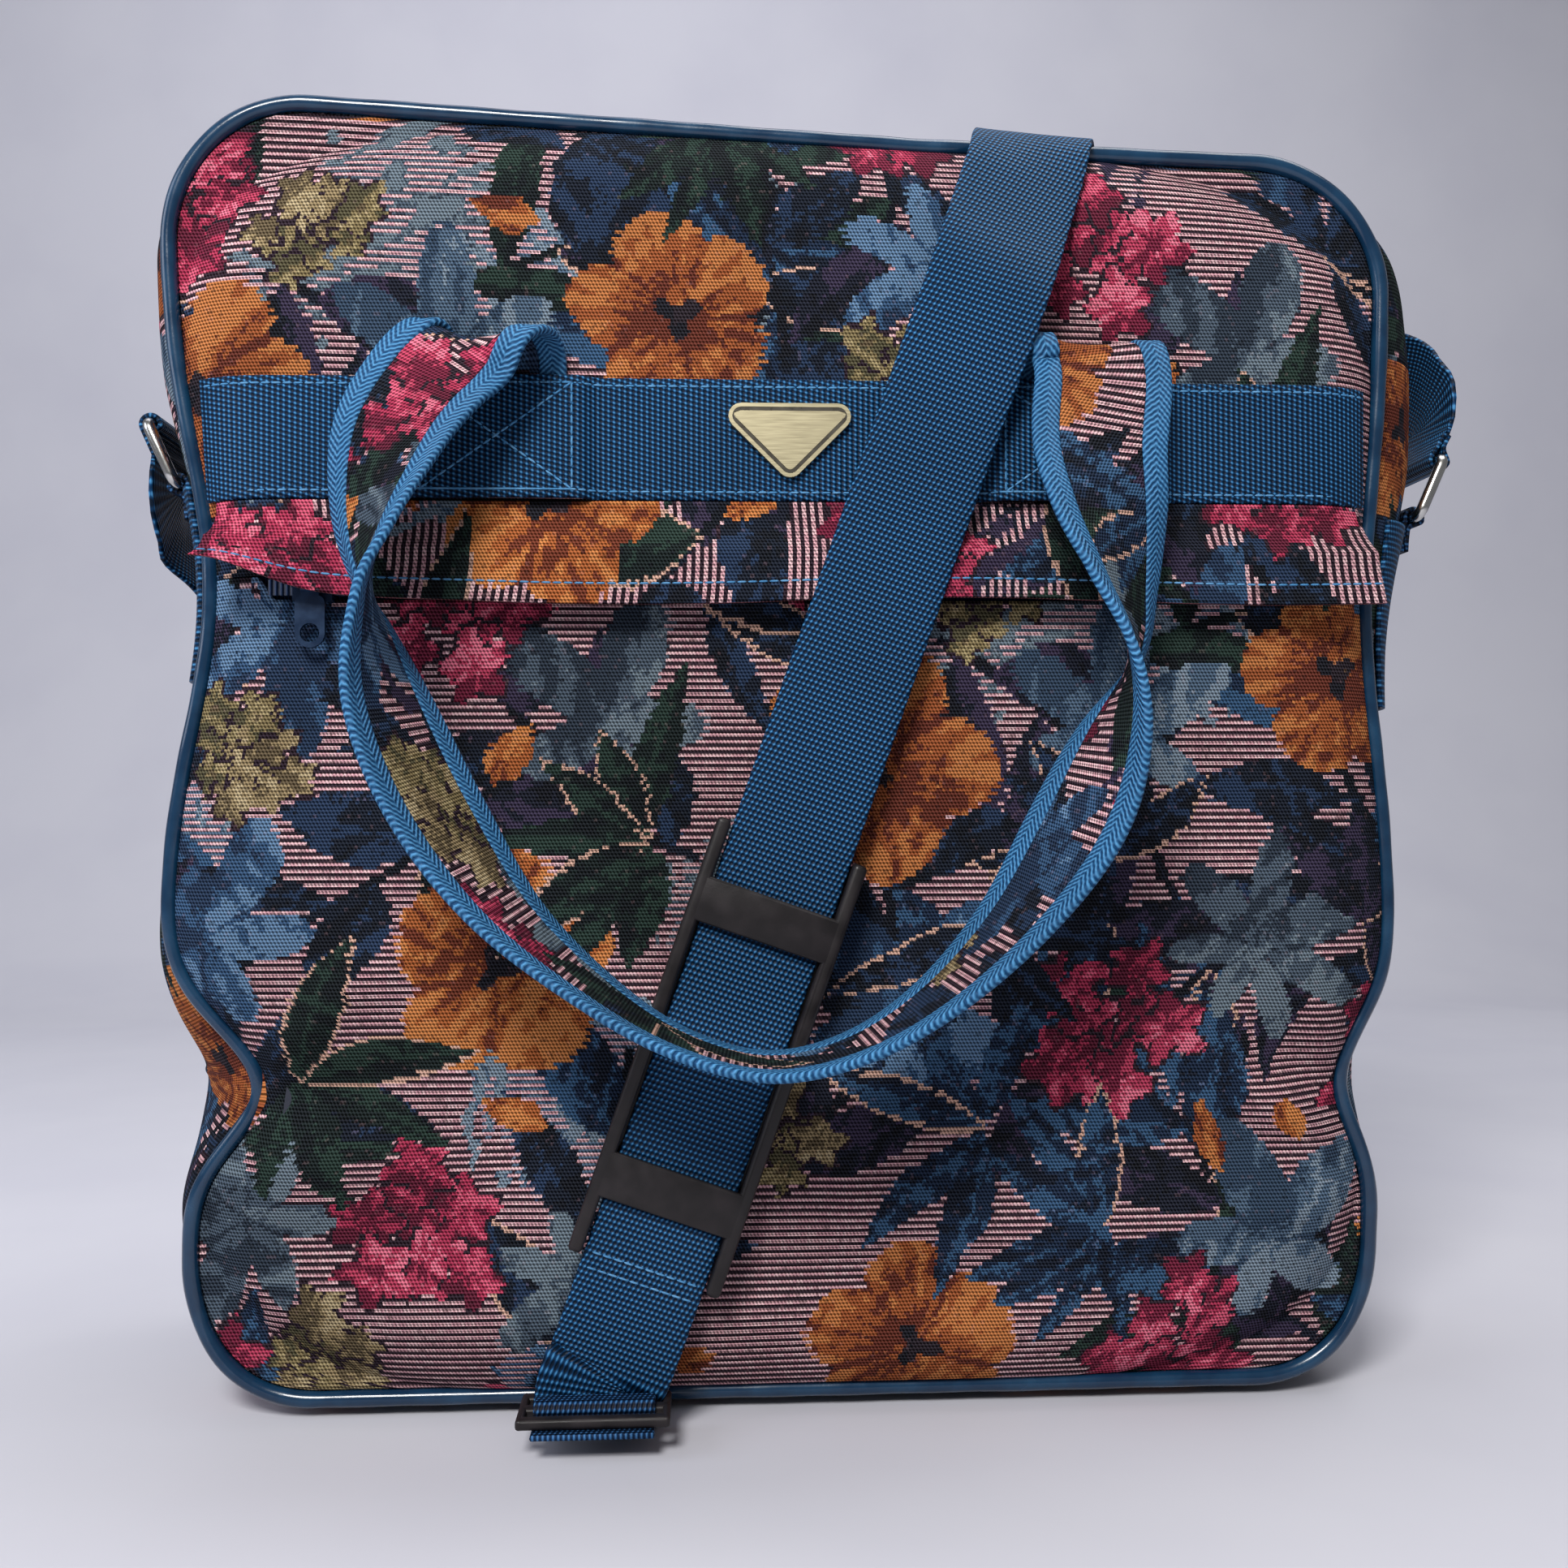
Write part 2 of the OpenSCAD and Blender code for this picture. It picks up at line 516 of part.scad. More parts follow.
// Zips, in a frame with the zip along X and the outside towards -Y
slider_len = 12;
slider_h = 9;
slider_t = 2;
lip_in = coil_half + gap;
lip_t = 0.7;
plate_gap = cloth_t - coil_t + 2 * gap;
bail_r = 0.8;
bail_out = 2.4;
bail_span = 8;
post_w = 1.4;
barrel_gap = 0.35;
barrel_r = bail_r + barrel_gap + 0.9;
pull_t = 1.5;
pivot_y = -(plate_gap + slider_t + bail_out);
pocket_slider_x = pocket_slider_in - bag_w / 2;
main_slider_x = main_slider_in - bag_w / 2;

module zip_slider() {
    translate([-slider_len / 2, -plate_gap - slider_t, -slider_h / 2]) cube([slider_len, slider_t, slider_h]);
    for (z = [-lip_in - lip_t, lip_in])
        translate([-slider_len / 2, -plate_gap - gap, z]) cube([slider_len, plate_gap + coil_t, lip_t]);
    for (side = [-1, 1])
        translate([side * (bail_span + post_w) / 2 - post_w / 2, pivot_y - bail_r, -bail_r])
        cube([post_w, bail_out + bail_r + gap, 2 * bail_r]);
    translate([-bail_span / 2 - gap, pivot_y, 0]) rotate([0, 90, 0])
    cylinder(r = bail_r, h = bail_span + 2 * gap);
}

pull_round = 2.5;
pull_hole_r = pull_w / 2 - 1.6;
pull_neck = 5.5;

module zip_pull() {
    translate([0, pivot_y, 0])
    difference() {
        union() {
            translate([-pull_neck / 2, 0, 0]) rotate([0, 90, 0]) cylinder(r = barrel_r, h = pull_neck);
            translate([-pull_neck / 2, -pull_t / 2, -barrel_r - 2]) cube([pull_neck, pull_t, barrel_r + 2]);
            translate([0, pull_t / 2, 0]) rotate([90, 0, 0]) linear_extrude(height = pull_t) {
                translate([0, pull_w / 2 - pull_len]) circle(r = pull_w / 2);
                translate([-pull_w / 2, pull_w / 2 - pull_len])
                square([pull_w, pull_len - barrel_r - 1 - pull_w / 2 - pull_round]);
                translate([pull_round - pull_w / 2, pull_w / 2 - pull_len])
                square([pull_w - 2 * pull_round, pull_len - barrel_r - 1 - pull_w / 2]);
                for (side = [-1, 1])
                    translate([side * (pull_w / 2 - pull_round), -barrel_r - 1 - pull_round])
                    circle(r = pull_round);
            }
        }
        translate([-pull_w, 0, 0]) rotate([0, 90, 0]) cylinder(r = bail_r + barrel_gap, h = 2 * pull_w);
        translate([0, pull_w, pull_w / 2 - pull_len]) rotate([90, 0, 0])
        cylinder(r = pull_hole_r, h = 2 * pull_w);
    }
}

pocket_zip_y = front_y + cloth_t + gap - coil_t;

module at_pocket() {
    translate([0, pocket_zip_y, zip_z]) children();
}

main_zip_z = seam_z + bag_h - top_sag - cloth_t - gap + coil_t;

module at_main() {
    translate([0, 0, main_zip_z]) rotate([0, top_tilt, 0]) rotate([-90, 0, 0]) children();
}

// The tapes follow the cloth behind the slits, the coils stand in the slits
tape_back = cloth_t + 2 * gap;
tape_in = rim_in + 3;

module pocket_zip_tape() {
    color("midnightblue")
    shell([for (z = [zip_z - tape_half, zip_z + tape_half]) level_row(z, tape_in, tape_back)],
        [for (z = [zip_z - tape_half, zip_z + tape_half]) level_row(z, tape_in, tape_back + tape_t)]);
}

module pocket_zip_coil() {
    color("midnightblue") at_pocket()
    translate([-zip_run, 0, -coil_half]) cube([2 * zip_run, coil_t, 2 * coil_half]);
}

tape_shares = [-tape_half / hd, tape_half / hd];
coil_shares = [-coil_half / (hd - rim_in), coil_half / (hd - rim_in)];
function zip_grid(shares, off) = [for (i = [first_top : last_top]) [for (s = shares)
    let(p = gusset_at(i, s, off)) i == first_top || i == last_top ? p + [0, 0, join_gap] : p]];

module main_zip_tape() {
    color("midnightblue")
    shell(zip_grid(tape_shares, -tape_back - tape_t), zip_grid(tape_shares, -tape_back));
}

module main_zip_coil() {
    color("midnightblue")
    shell(zip_grid(coil_shares, -cloth_t - gap), zip_grid(coil_shares, -cloth_t - gap + coil_t));
}

module pocket_slider() {
    color("midnightblue") at_pocket() translate([pocket_slider_x, 0, 0]) zip_slider();
}

module pocket_pull() {
    color("midnightblue") at_pocket() translate([pocket_slider_x, 0, 0]) zip_pull();
}

module main_slider() {
    color("midnightblue") at_main() translate([main_slider_x, 0, 0]) zip_slider();
}

module main_pull() {
    color("midnightblue") at_main() translate([main_slider_x, 0, 0]) zip_pull();
}

// Webbing patches on the side gusset, following its swell
patch_top = 7;
patch_len = 62;
patch_steps = 5;
patch_shares = [-0.96, -0.82, -0.6, -0.3, 0, 0.3, 0.6, 0.82, 0.96];
function side_point(right, z, s, off) = let(x0 = right ? bag_w / 2 : -bag_w / 2, v = v_of(x0, z),
    f = right ? right_x(v) : left_x(v),
    b = right ? right_x(v, 0, back_pinch_share) : left_x(v, 0, back_pinch_share),
    m = side_bulge * lookup(v, right ? bulge_right_shares : bulge_left_shares) * sqrt(1 - s * s) + off)
    [lerp(f, b, (s + 1) / 2) + (right ? m : -m), s * (hd - rim_in), z];
patch_off = 1.2;
function patch_grid(right, top, off) = [for (i = [0 : patch_steps])
    [for (s = patch_shares) side_point(right, top - patch_len * i / patch_steps, s, off)]];

module side_patch_left() {
    color("steelblue")
    shell(patch_grid(false, ring_left_z - patch_top, patch_off + web_t),
        patch_grid(false, ring_left_z - patch_top, patch_off));
}

module side_patch_right() {
    color("steelblue")
    shell(patch_grid(true, ring_right_z - patch_top, patch_off),
        patch_grid(true, ring_right_z - patch_top, patch_off + web_t));
}

// Ring tabs and rings, in a frame with the lower bar along Y at the origin and the bag towards +X
tab_w = 36;
tab_r = ring_wire_r + gap;
tab_drop = patch_top - 0.4;
ring_half = 22;
function ring_x(right, z) = let(p = side_point(right, z, 0, 0)[0],
    q = side_point(right, z + tab_r + web_t, 0, 0)[0])
    right ? max(p, q) + patch_off + tab_r + web_t : min(p, q) - patch_off - tab_r - web_t;

module ring_tab() {
    rotate([90, 0, 0]) translate([0, 0, -tab_w / 2]) linear_extrude(height = tab_w) difference() {
        union() {
            circle(r = tab_r + web_t);
            translate([tab_r + web_t - 2 * web_t, -tab_drop]) square([2 * web_t, tab_drop]);
        }
        circle(r = tab_r);
    }
}

module side_ring() {
    rotate([0, -ring_lean, 0]) {
        for (z = [0, ring_h])
            translate([0, ring_half, z]) rotate([90, 0, 0]) cylinder(r = ring_wire_r, h = 2 * ring_half);
        for (side = [-1, 1]) {
            translate([0, side * ring_half, 0]) cylinder(r = ring_wire_r, h = ring_h);
            for (z = [0, ring_h]) translate([0, side * ring_half, z]) sphere(r = ring_wire_r);
        }
    }
}

loop_w = web_w;
loop_tail = 7;

module strap_loop(down) {
    rotate([0, -ring_lean, 0]) translate([0, 0, ring_h])
    rotate([90, 0, 0]) translate([0, 0, -loop_w / 2]) linear_extrude(height = loop_w) difference() {
        union() {
            circle(r = tab_r + web_t);
            if (down) translate([-tab_r - web_t, -loop_tail]) square([2 * web_t, loop_tail]);
            if (!down) translate([web_t - tab_r, 0]) square([2 * web_t, loop_tail]);
        }
        circle(r = tab_r);
    }
}

left_x0 = ring_x(false, ring_left_z);
right_x0 = ring_x(true, ring_right_z);

module at_left() {
    translate([left_x0, 0, ring_left_z]) children();
}

module at_right() {
    translate([right_x0, 0, ring_right_z]) mirror([1, 0, 0]) children();
}

module ring_tab_left() {
    color("steelblue") at_left() ring_tab();
}

module ring_tab_right() {
    color("steelblue") at_right() ring_tab();
}

module side_ring_left() {
    color("silver") at_left() side_ring();
}

module side_ring_right() {
    color("silver") at_right() side_ring();
}

module strap_loop_left() {
    color("steelblue") at_left() strap_loop(true);
}

module strap_loop_right() {
    color("steelblue") at_right() strap_loop(false);
}

// Shoulder strap: right ring, over the top, down the front, under the base, up the back, left ring
strap_y = front_y - gap - flap_stand - cloth_t - gap - web_t / 2;
function strap_at(z) = strap_x + (z - flap_z) * tan(strap_lean);
across_front = [cos(strap_lean), 0, -sin(strap_lean)];
top_z = seam_z + bag_h + pipe_r;
strap_clear = web_t / 2 + 2 * gap;
loop_end = loop_tail + 1.5;
lean_x = sin(ring_lean);
lean_z = cos(ring_lean);
right_top = [right_x0 + ring_h * lean_x, 0, ring_right_z + ring_h * lean_z];
left_top = [left_x0 - ring_h * lean_x, 0, ring_left_z + ring_h * lean_z];
right_off = 2 * web_t - tab_r;
right_start = right_top + [loop_end * lean_x - right_off * lean_z, 0, loop_end * lean_z + right_off * lean_x];
left_end = left_top + [loop_end * lean_x - tab_r * lean_z, 0, -loop_end * lean_z - tab_r * lean_x];
rear_strap = back_y + 4;
fold_z = band_z + 38;
fold_lift = 5.4;
upright = [1, 0, 0];
strap_rows = [
    [right_start, [0, -1, 0]],
    [right_start + [1, 0, 2.4], [0, -1, 0]],
    [right_start + [2, 0, 5.5], [0, -1, 0]],
    [right_start + [2.8, 0, 10], [0, -1, 0]],
    [right_start + [3.2, 5, 18], [0, -1, 0.15]],
    [[right_start[0] - 1, 19, right_start[2] + 31], [0, -0.85, 0.5]],
    [[bag_w / 2 + 15, 43, right_start[2] + 42], [0.1, -0.7, 0.65]],
    [[bag_w / 2 - 1, hd + 4, right_start[2] + 49], [0.45, -0.3, 0.75]],
    [[bag_w / 2 - 25, rear_strap, right_start[2] + 57], [0.6, 0, 0.75]],
    [[strap_at(top_z) + 62, rear_strap - 2, top_z - 18], [0.75, 0, 0.65]],
    [[strap_at(top_z) + 48, hd + 5, top_z - 4], [0.85, -0.25, 0.45]],
    [[strap_at(top_z) + 38, hd - 8, top_z + 3], [0.85, -0.5, 0.1]],
    [[strap_at(top_z) + 24, 12, top_z + 6], [0.87, -0.48, 0]],
    [[strap_at(top_z) + 10, -22, top_z + 5], [0.9, -0.42, -0.1]],
    [[strap_at(top_z) + 2, -hd + 6, top_z + 2.2], [0.92, -0.3, -0.15]],
    [[strap_at(top_z) - 1.5, -hd - 5, top_z - 2.8], [0.93, -0.2, -0.25]],
    [[strap_at(top_z - 14), strap_y + 11, top_z - 14], across_front],
    [[strap_at(top_z - 32), strap_y + 3.5, top_z - 32], across_front],
    [[strap_at(top_z - 48), strap_y - 3.6, top_z - 48], across_front - [0, 0.08, 0]],
    [[strap_at(fold_z), strap_y - fold_lift, fold_z], across_front - [0, 0.12, 0]],
    [[strap_at(fold_z - 26), strap_y - 2, fold_z - 26], across_front - [0, 0.03, 0]],
    [[strap_at(flap_z + 32), strap_y, flap_z + 32], across_front],
    [[strap_at(flap_z), strap_y, flap_z], across_front],
    [[strap_at(lerp(flap_z, 30, 0.5)), strap_y, lerp(flap_z, 30, 0.5)], across_front],
    [[strap_at(30), strap_y, 30], across_front],
    [[lerp(strap_at(18), lane_x, 0.4), strap_y, 18], [0.96, 0, -0.2]],
    [[lane_x, strap_y + 0.5, 8], upright],
    [[lane_x, strap_y + 4, 2.6], upright],
    [[lane_x, strap_y + 11, web_t / 2 + 0.1], upright],
    [[lane_x, -hd + 6, web_t / 2 + 0.1], upright],
    [[lane_x, 0, web_t / 2 + 0.1], upright],
    [[lane_x, hd - 6, web_t / 2 + 0.1], upright],
    [[lane_x, back_y - 3, web_t / 2 + 1], upright],
    [[lane_x - 0.5, rear_strap - 0.5, 9], upright],
    [[lane_x - 6, rear_strap + 0.5, 26], [0.97, 0, 0.25]],
    [[lane_x - 28, rear_strap, 76], [0.92, 0, 0.4]],
    [[lane_x - 66, rear_strap, 150], [0.89, 0, 0.46]],
    [[lane_x - 97, rear_strap, 206], [0.88, 0, 0.47]],
    [[lane_x - 122, rear_strap - 3, 244], [0.86, 0.3, 0.42]],
    [[-bag_w / 2 - 5, hd - 12, 268], [0.35, 0.85, 0.38]],
    [[left_end[0] - 0.5, 17, left_end[2] - 27], [0, 0.95, 0.28]],
    [[left_end[0] - 1.2, 4.5, left_end[2] - 17.5], [0, 1, 0.1]],
    [[left_end[0] - 1.1, 0, left_end[2] - 11], [0, 1, 0]],
    [[left_end[0] - 0.6, 0, left_end[2] - 4.5], [0, 1, 0]],
    [[left_end[0] - 0.2, 0, left_end[2] - 1.5], [0, 1, 0]],
    [left_end, [0, 1, 0]]];
strap_points = curve([for (r = strap_rows) r[0]], 3);
strap_sides = curve([for (r = strap_rows) r[1]], 3);

module strap() {
    color("steelblue")
    ribbon([for (i = [0 : len(strap_points) - 1]) [strap_points[i], strap_sides[i]]],
        -web_w / 2, web_w / 2, web_t);
}

// Shoulder pad, in a frame with the strap along Z and its middle plane at Y zero
pad_plate = 2.6;
pad_bar = 14;
pad_bar_z = pad_len / 2 - 25;
pad_clear = 0.4;
pad_in = web_w / 2 + 0.6;
pad_rail = pad_w / 2 - pad_in;
pad_half_t = web_t / 2 + pad_clear;

module pad_rail_shape() {
    for (z = [-1, 1]) translate([0, z * (pad_len / 2 - pad_rail / 2)]) circle(d = pad_rail);
    translate([-pad_rail / 2, -pad_len / 2 + pad_rail / 2]) square([pad_rail, pad_len - pad_rail]);
}

module shoulder_pad() {
    color("dimgray")
    translate([strap_at(pad_z), strap_y, pad_z]) rotate([0, strap_lean, 0]) {
        for (side = [-1, 1])
            translate([side * (pad_in + pad_rail / 2), pad_half_t + pad_plate, 0]) rotate([90, 0, 0])
            linear_extrude(height = 2 * (pad_half_t + pad_plate)) pad_rail_shape();
        translate([-pad_in - pad_rail / 2, pad_half_t, -pad_bar_z - pad_bar / 2])
        cube([2 * pad_in + pad_rail, pad_plate, 2 * pad_bar_z + pad_bar]);
        for (z = [-pad_bar_z, pad_bar_z])
            translate([-pad_in - pad_rail / 2, -pad_half_t - pad_plate, z - pad_bar / 2])
            cube([2 * pad_in + pad_rail, pad_plate, pad_bar]);
    }
}

// Strap slide at the foot of the front, the strap passing down through its rear slot
slide_w = web_w + 7;
slide_t = 3.2;
slide_bar = 4;
slot_deep = 5;
slide_z = 8.5;
slide_rear = strap_y + 0.5 + slot_deep / 2;

module strap_slide() {
    color("dimgray")
    translate([lane_x, slide_rear, slide_z]) difference() {
        translate([-slide_w / 2, -2 * slot_deep - 2 * slide_bar, 0])
        cube([slide_w, 2 * slot_deep + 3 * slide_bar, slide_t]);
        for (y = [-slot_deep, -2 * slot_deep - slide_bar])
            translate([-web_w / 2 - 1, y, -slide_t]) cube([web_w + 2, slot_deep, 3 * slide_t]);
    }
}

// Sewn tail of the strap around the middle bar of the slide
tail_w = web_w - 2;
tail_len = 11;
tail_low = slide_z - gap - web_t;

module strap_tail() {
    color("midnightblue")
    translate([lane_x - tail_w / 2, slide_rear - slot_deep - slide_bar, 0]) {
        translate([0, -gap - web_t, tail_low]) cube([tail_w, web_t, slide_t + 2 * gap + 2 * web_t]);
        translate([0, -gap - web_t, slide_z + slide_t + gap])
        cube([tail_w, slide_bar + 2 * gap + web_t, web_t]);
        translate([0, -gap - web_t - tail_len, tail_low]) cube([tail_w, tail_len + web_t, web_t]);
    }
}

// Stiff board inside on the base
board_w = bag_w - 2 * corner_r - 12;
board_d = bag_d - 22;
board_t = 2.5;

module base_board() {
    color("gray")
    translate([-board_w / 2, -board_d / 2, lane_depth + cloth_t + gap]) cube([board_w, board_d, board_t]);
}

front_panel();
pocket_panel();
back_panel();
lower_gusset();
top_gusset_front();
top_gusset_rear();
front_piping();
back_piping();
front_band();
back_band();
flap();
badge();
front_handle();
front_binding_outer();
front_binding_inner();
back_handle();
back_binding_outer();
back_binding_inner();
pocket_zip_tape();
pocket_zip_coil();
pocket_slider();
pocket_pull();
pocket_lining();
main_zip_tape();
main_zip_coil();
main_slider();
main_pull();
side_patch_left();
side_patch_right();
ring_tab_left();
ring_tab_right();
side_ring_left();
side_ring_right();
strap();
strap_loop_left();
strap_loop_right();
shoulder_pad();
strap_slide();
strap_tail();
base_board();
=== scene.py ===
"""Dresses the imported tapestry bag: cloth, webbing, piping, hardware, stitching, light and camera."""
import logging
import math
from dataclasses import dataclass, field
from enum import Enum, IntEnum

import bmesh
import bpy
import numpy as np
from mathutils import Matrix, Vector


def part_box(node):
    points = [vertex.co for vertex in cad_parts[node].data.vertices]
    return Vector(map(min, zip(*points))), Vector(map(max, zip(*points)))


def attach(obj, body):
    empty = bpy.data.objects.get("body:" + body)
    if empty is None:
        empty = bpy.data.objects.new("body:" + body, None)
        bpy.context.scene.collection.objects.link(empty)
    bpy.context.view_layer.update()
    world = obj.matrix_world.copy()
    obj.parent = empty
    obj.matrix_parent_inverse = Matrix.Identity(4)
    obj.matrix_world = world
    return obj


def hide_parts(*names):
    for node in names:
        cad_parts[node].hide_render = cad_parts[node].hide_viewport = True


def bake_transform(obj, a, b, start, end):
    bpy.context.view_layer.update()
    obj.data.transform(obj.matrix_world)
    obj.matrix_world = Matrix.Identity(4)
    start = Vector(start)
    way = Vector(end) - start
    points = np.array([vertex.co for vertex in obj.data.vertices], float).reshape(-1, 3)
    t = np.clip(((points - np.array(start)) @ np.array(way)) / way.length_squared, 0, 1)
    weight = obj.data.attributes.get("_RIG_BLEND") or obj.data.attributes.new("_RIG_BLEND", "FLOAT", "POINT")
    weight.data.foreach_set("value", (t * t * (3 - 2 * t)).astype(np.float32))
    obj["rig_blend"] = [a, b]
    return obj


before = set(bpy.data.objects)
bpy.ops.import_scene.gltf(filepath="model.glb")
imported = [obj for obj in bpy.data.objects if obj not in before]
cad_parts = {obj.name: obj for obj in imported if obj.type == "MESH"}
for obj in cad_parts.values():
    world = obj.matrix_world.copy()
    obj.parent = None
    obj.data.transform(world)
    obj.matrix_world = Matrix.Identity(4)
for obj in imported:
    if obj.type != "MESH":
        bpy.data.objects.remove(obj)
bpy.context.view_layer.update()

LOG = logging.getLogger("tapestry_bag")
MM = 0.001
PHOTO_PX = 1932
Array = np.ndarray
Tree, Node, Socket = bpy.types.NodeTree, bpy.types.Node, bpy.types.NodeSocket
Object, Material = bpy.types.Object, bpy.types.Material
HEM_TURN = 2.0  # depth of a turned-in edge of cloth
EDGE_NOSE = 0.8  # how far a strip's round edge stands out, as a share of half its thickness
EDGE_TURNS = (55, 0, -55)  # degrees
FOLD_FADE = 0.7  # share of a fold's depth that is lost at its far end
SEAM_R = 42.0  # radius that turns an angle round the gusset into a length
FRONT = np.array([0, -1.0, 0])


class Side(IntEnum):
    """The bag's sides, as numbers of a pair's values."""

    LEFT = 0
    RIGHT = 1

    @property
    def label(self) -> str:
        """The side as it is written in names."""
        return self.name.lower()


def linear(code: str) -> tuple[float, float, float, float]:
    """Turns an sRGB hex colour into linear values.

    Args:
        code: The colour as "#RRGGBB".

    Returns:
        Linear red, green and blue with an alpha of one.
    """
    parts = [int(code[i:i + 2], 16) / 255 for i in (1, 3, 5)]
    flat = [c / 12.92 if c <= 0.04045 else ((c + 0.055) / 1.055) ** 2.4 for c in parts]
    return flat[0], flat[1], flat[2], 1.0


def bump(d: Array, w: float) -> Array:
    """Bell curve of width w around zero."""
    return np.exp(-(d / w) ** 2)


def mix(a: Array, b: Array, t: Array) -> Array:
    """Straight mix from a to b."""
    return a + (b - a) * t


def ease(t: Array) -> Array:
    """Smooth step from 0 to 1."""
    return t * t * (3 - 2 * t)


def spread_out(x: Array, y: Array, z: Array) -> Array:
    """Points from three coordinates, each brought to the full grid."""
    return np.stack(np.broadcast_arrays(x, y, z), -1)


def through(rows: Array, steps: int) -> Array:
    """Runs a smooth curve through the rows of a table.

    Args:
        rows: Table with one row of values per station.
        steps: Steps between two rows.

    Returns:
        The finer table, ending on the last row.
    """
    n = len(rows)
    i = np.arange(n - 1)
    a, b, c, d = (rows[np.clip(i + k, 0, n - 1)][:, None, :] for k in (-1, 0, 1, 2))
    t = (np.arange(steps) / steps)[None, :, None]
    fine = 0.5 * (2 * b + (c - a) * t + (2 * a - 5 * b + 4 * c - d) * t ** 2 + (3 * b - a - 3 * c + d) * t ** 3)
    return np.vstack([fine.reshape(-1, rows.shape[1]), rows[-1:]])


def unit(v: Array) -> Array:
    """Vectors brought to length one."""
    return v / np.maximum(np.linalg.norm(v, axis=-1, keepdims=True), 1e-9)


def square_to(v: Array, ahead: Array) -> Array:
    """Directions v made square to a line's directions."""
    return unit(v - (v * ahead).sum(1, keepdims=True) * ahead)


def ring_ahead(line: Array) -> Array:
    """Direction along a closed line at each of its points."""
    return unit(np.roll(line, -1, 0) - np.roll(line, 1, 0))


def along_line(points: Array) -> Array:
    """Length run from the first point to each point of a line."""
    return np.concatenate([[0.0], np.cumsum(np.linalg.norm(np.diff(points, axis=0), axis=1))])


def evenly(points: Array, extra: Array, pitch: float) -> tuple[Array, Array]:
    """Puts the points of a line at an even pitch.

    Args:
        points: The line, in millimetres.
        extra: Values that go with each point.
        pitch: Wanted spacing.

    Returns:
        The even points and their values.
    """
    run = along_line(points)
    at = np.linspace(0, run[-1], max(2, int(round(run[-1] / pitch)) + 1))
    pick = lambda table: np.stack([np.interp(at, run, table[:, k]) for k in range(table.shape[1])], 1)
    return pick(points), pick(extra)


@dataclass
class MeshData:
    """Points, faces, surface coordinates and face colours of one piece, in millimetres."""

    points: Array
    faces: list
    coords: Array
    colours: Array | None = None

    def build(self, name: str, smooth: bool = True) -> Object:
        """Makes the object.

        Args:
            name: Name of the piece.
            smooth: Whether its faces are shaded smooth.

        Returns:
            The object, at the origin and in the scene.
        """
        mesh = bpy.data.meshes.new(name)
        mesh.from_pydata((self.points * MM).tolist(), [], self.faces)
        corner = np.zeros(len(mesh.loops), np.int32)
        mesh.loops.foreach_get("vertex_index", corner)
        layer = mesh.uv_layers.new(name="cloth")
        layer.data.foreach_set("uv", (self.coords[corner] * MM).astype(np.float32).ravel())
        if self.colours is not None:
            count = np.zeros(len(mesh.polygons), np.int32)
            mesh.polygons.foreach_get("loop_total", count)
            rgba = np.ones((len(mesh.loops), 4), np.float32)
            rgba[:, :3] = np.repeat(self.colours, count, axis=0)
            shades = mesh.color_attributes.new("print", "FLOAT_COLOR", "CORNER")
            shades.data.foreach_set("color", rgba.ravel())
        mesh.polygons.foreach_set("use_smooth", [smooth] * len(mesh.polygons))
        mesh.validate()
        obj = bpy.data.objects.new(name, mesh)
        bpy.context.scene.collection.objects.link(obj)
        return obj


def quads(n: int, m: int, flip: bool = False) -> Array:
    """Faces of a grid of n rows and m columns.

    Args:
        n: Rows.
        m: Columns.
        flip: Turns the faces over.

    Returns:
        Four indices per face, row after row.
    """
    i, j = np.meshgrid(np.arange(n - 1), np.arange(m - 1), indexing="ij")
    a = (i * m + j).ravel()
    face = np.stack([a, a + 1, a + m + 1, a + m], 1)
    return face[:, ::-1] if flip else face


def cloth_sheet(grid: Array, uv: Array, inward: Array, flip: bool, colours: Array) -> MeshData:
    """Sheet of cloth with edges that turn in all round.

    Args:
        grid: Points, rows by columns.
        uv: Surface coordinates.
        inward: Direction behind the cloth.
        flip: Turns the faces over.
        colours: Colour of each cell of the grid.

    Returns:
        The mesh of the sheet.
    """
    wider = lambda table: np.pad(table, ((1, 1), (1, 1), (0, 0)), mode="edge")
    points, back = wider(grid), wider(inward)
    rim = np.ones(points.shape[:2], bool)
    rim[1:-1, 1:-1] = False
    points[rim] += HEM_TURN * back[rim]
    faces = quads(*points.shape[:2], flip).tolist()
    return MeshData(points.reshape(-1, 3), faces, wider(uv).reshape(-1, 2), wider(colours).reshape(-1, 3))


def tube_faces(rings: int, sides: int, closed: bool) -> Array:
    """Faces of a tube.

    Args:
        rings: Cross-sections along it.
        sides: Points of a cross-section.
        closed: Whether the last cross-section joins the first.

    Returns:
        Four indices per face.
    """
    i, j = np.meshgrid(np.arange(rings if closed else rings - 1), np.arange(sides), indexing="ij")
    ii, jj = (i + 1) % rings, (j + 1) % sides
    return np.stack([i * sides + j, i * sides + jj, ii * sides + jj, ii * sides + j], -1).reshape(-1, 4)


def flat_section(width: float, thick: float, across: int) -> Array:
    """Closed cross-section of a flat strip with round edges.

    Args:
        width: Width of the strip.
        thick: Thickness of the strip.
        across: Points on each of its two faces.

    Returns:
        Points (across, through), from the outer face round to the inner one.
    """
    r = thick / 2
    nose = r * EDGE_NOSE
    half = width / 2 - nose
    face = np.stack([np.linspace(-half, half, across), np.full(across, r)], 1)
    turn = np.radians(EDGE_TURNS)
    edge = np.stack([half + nose * np.cos(turn), r * np.sin(turn)], 1)
    return np.vstack([face, edge, face[::-1] * [1, -1], -edge])


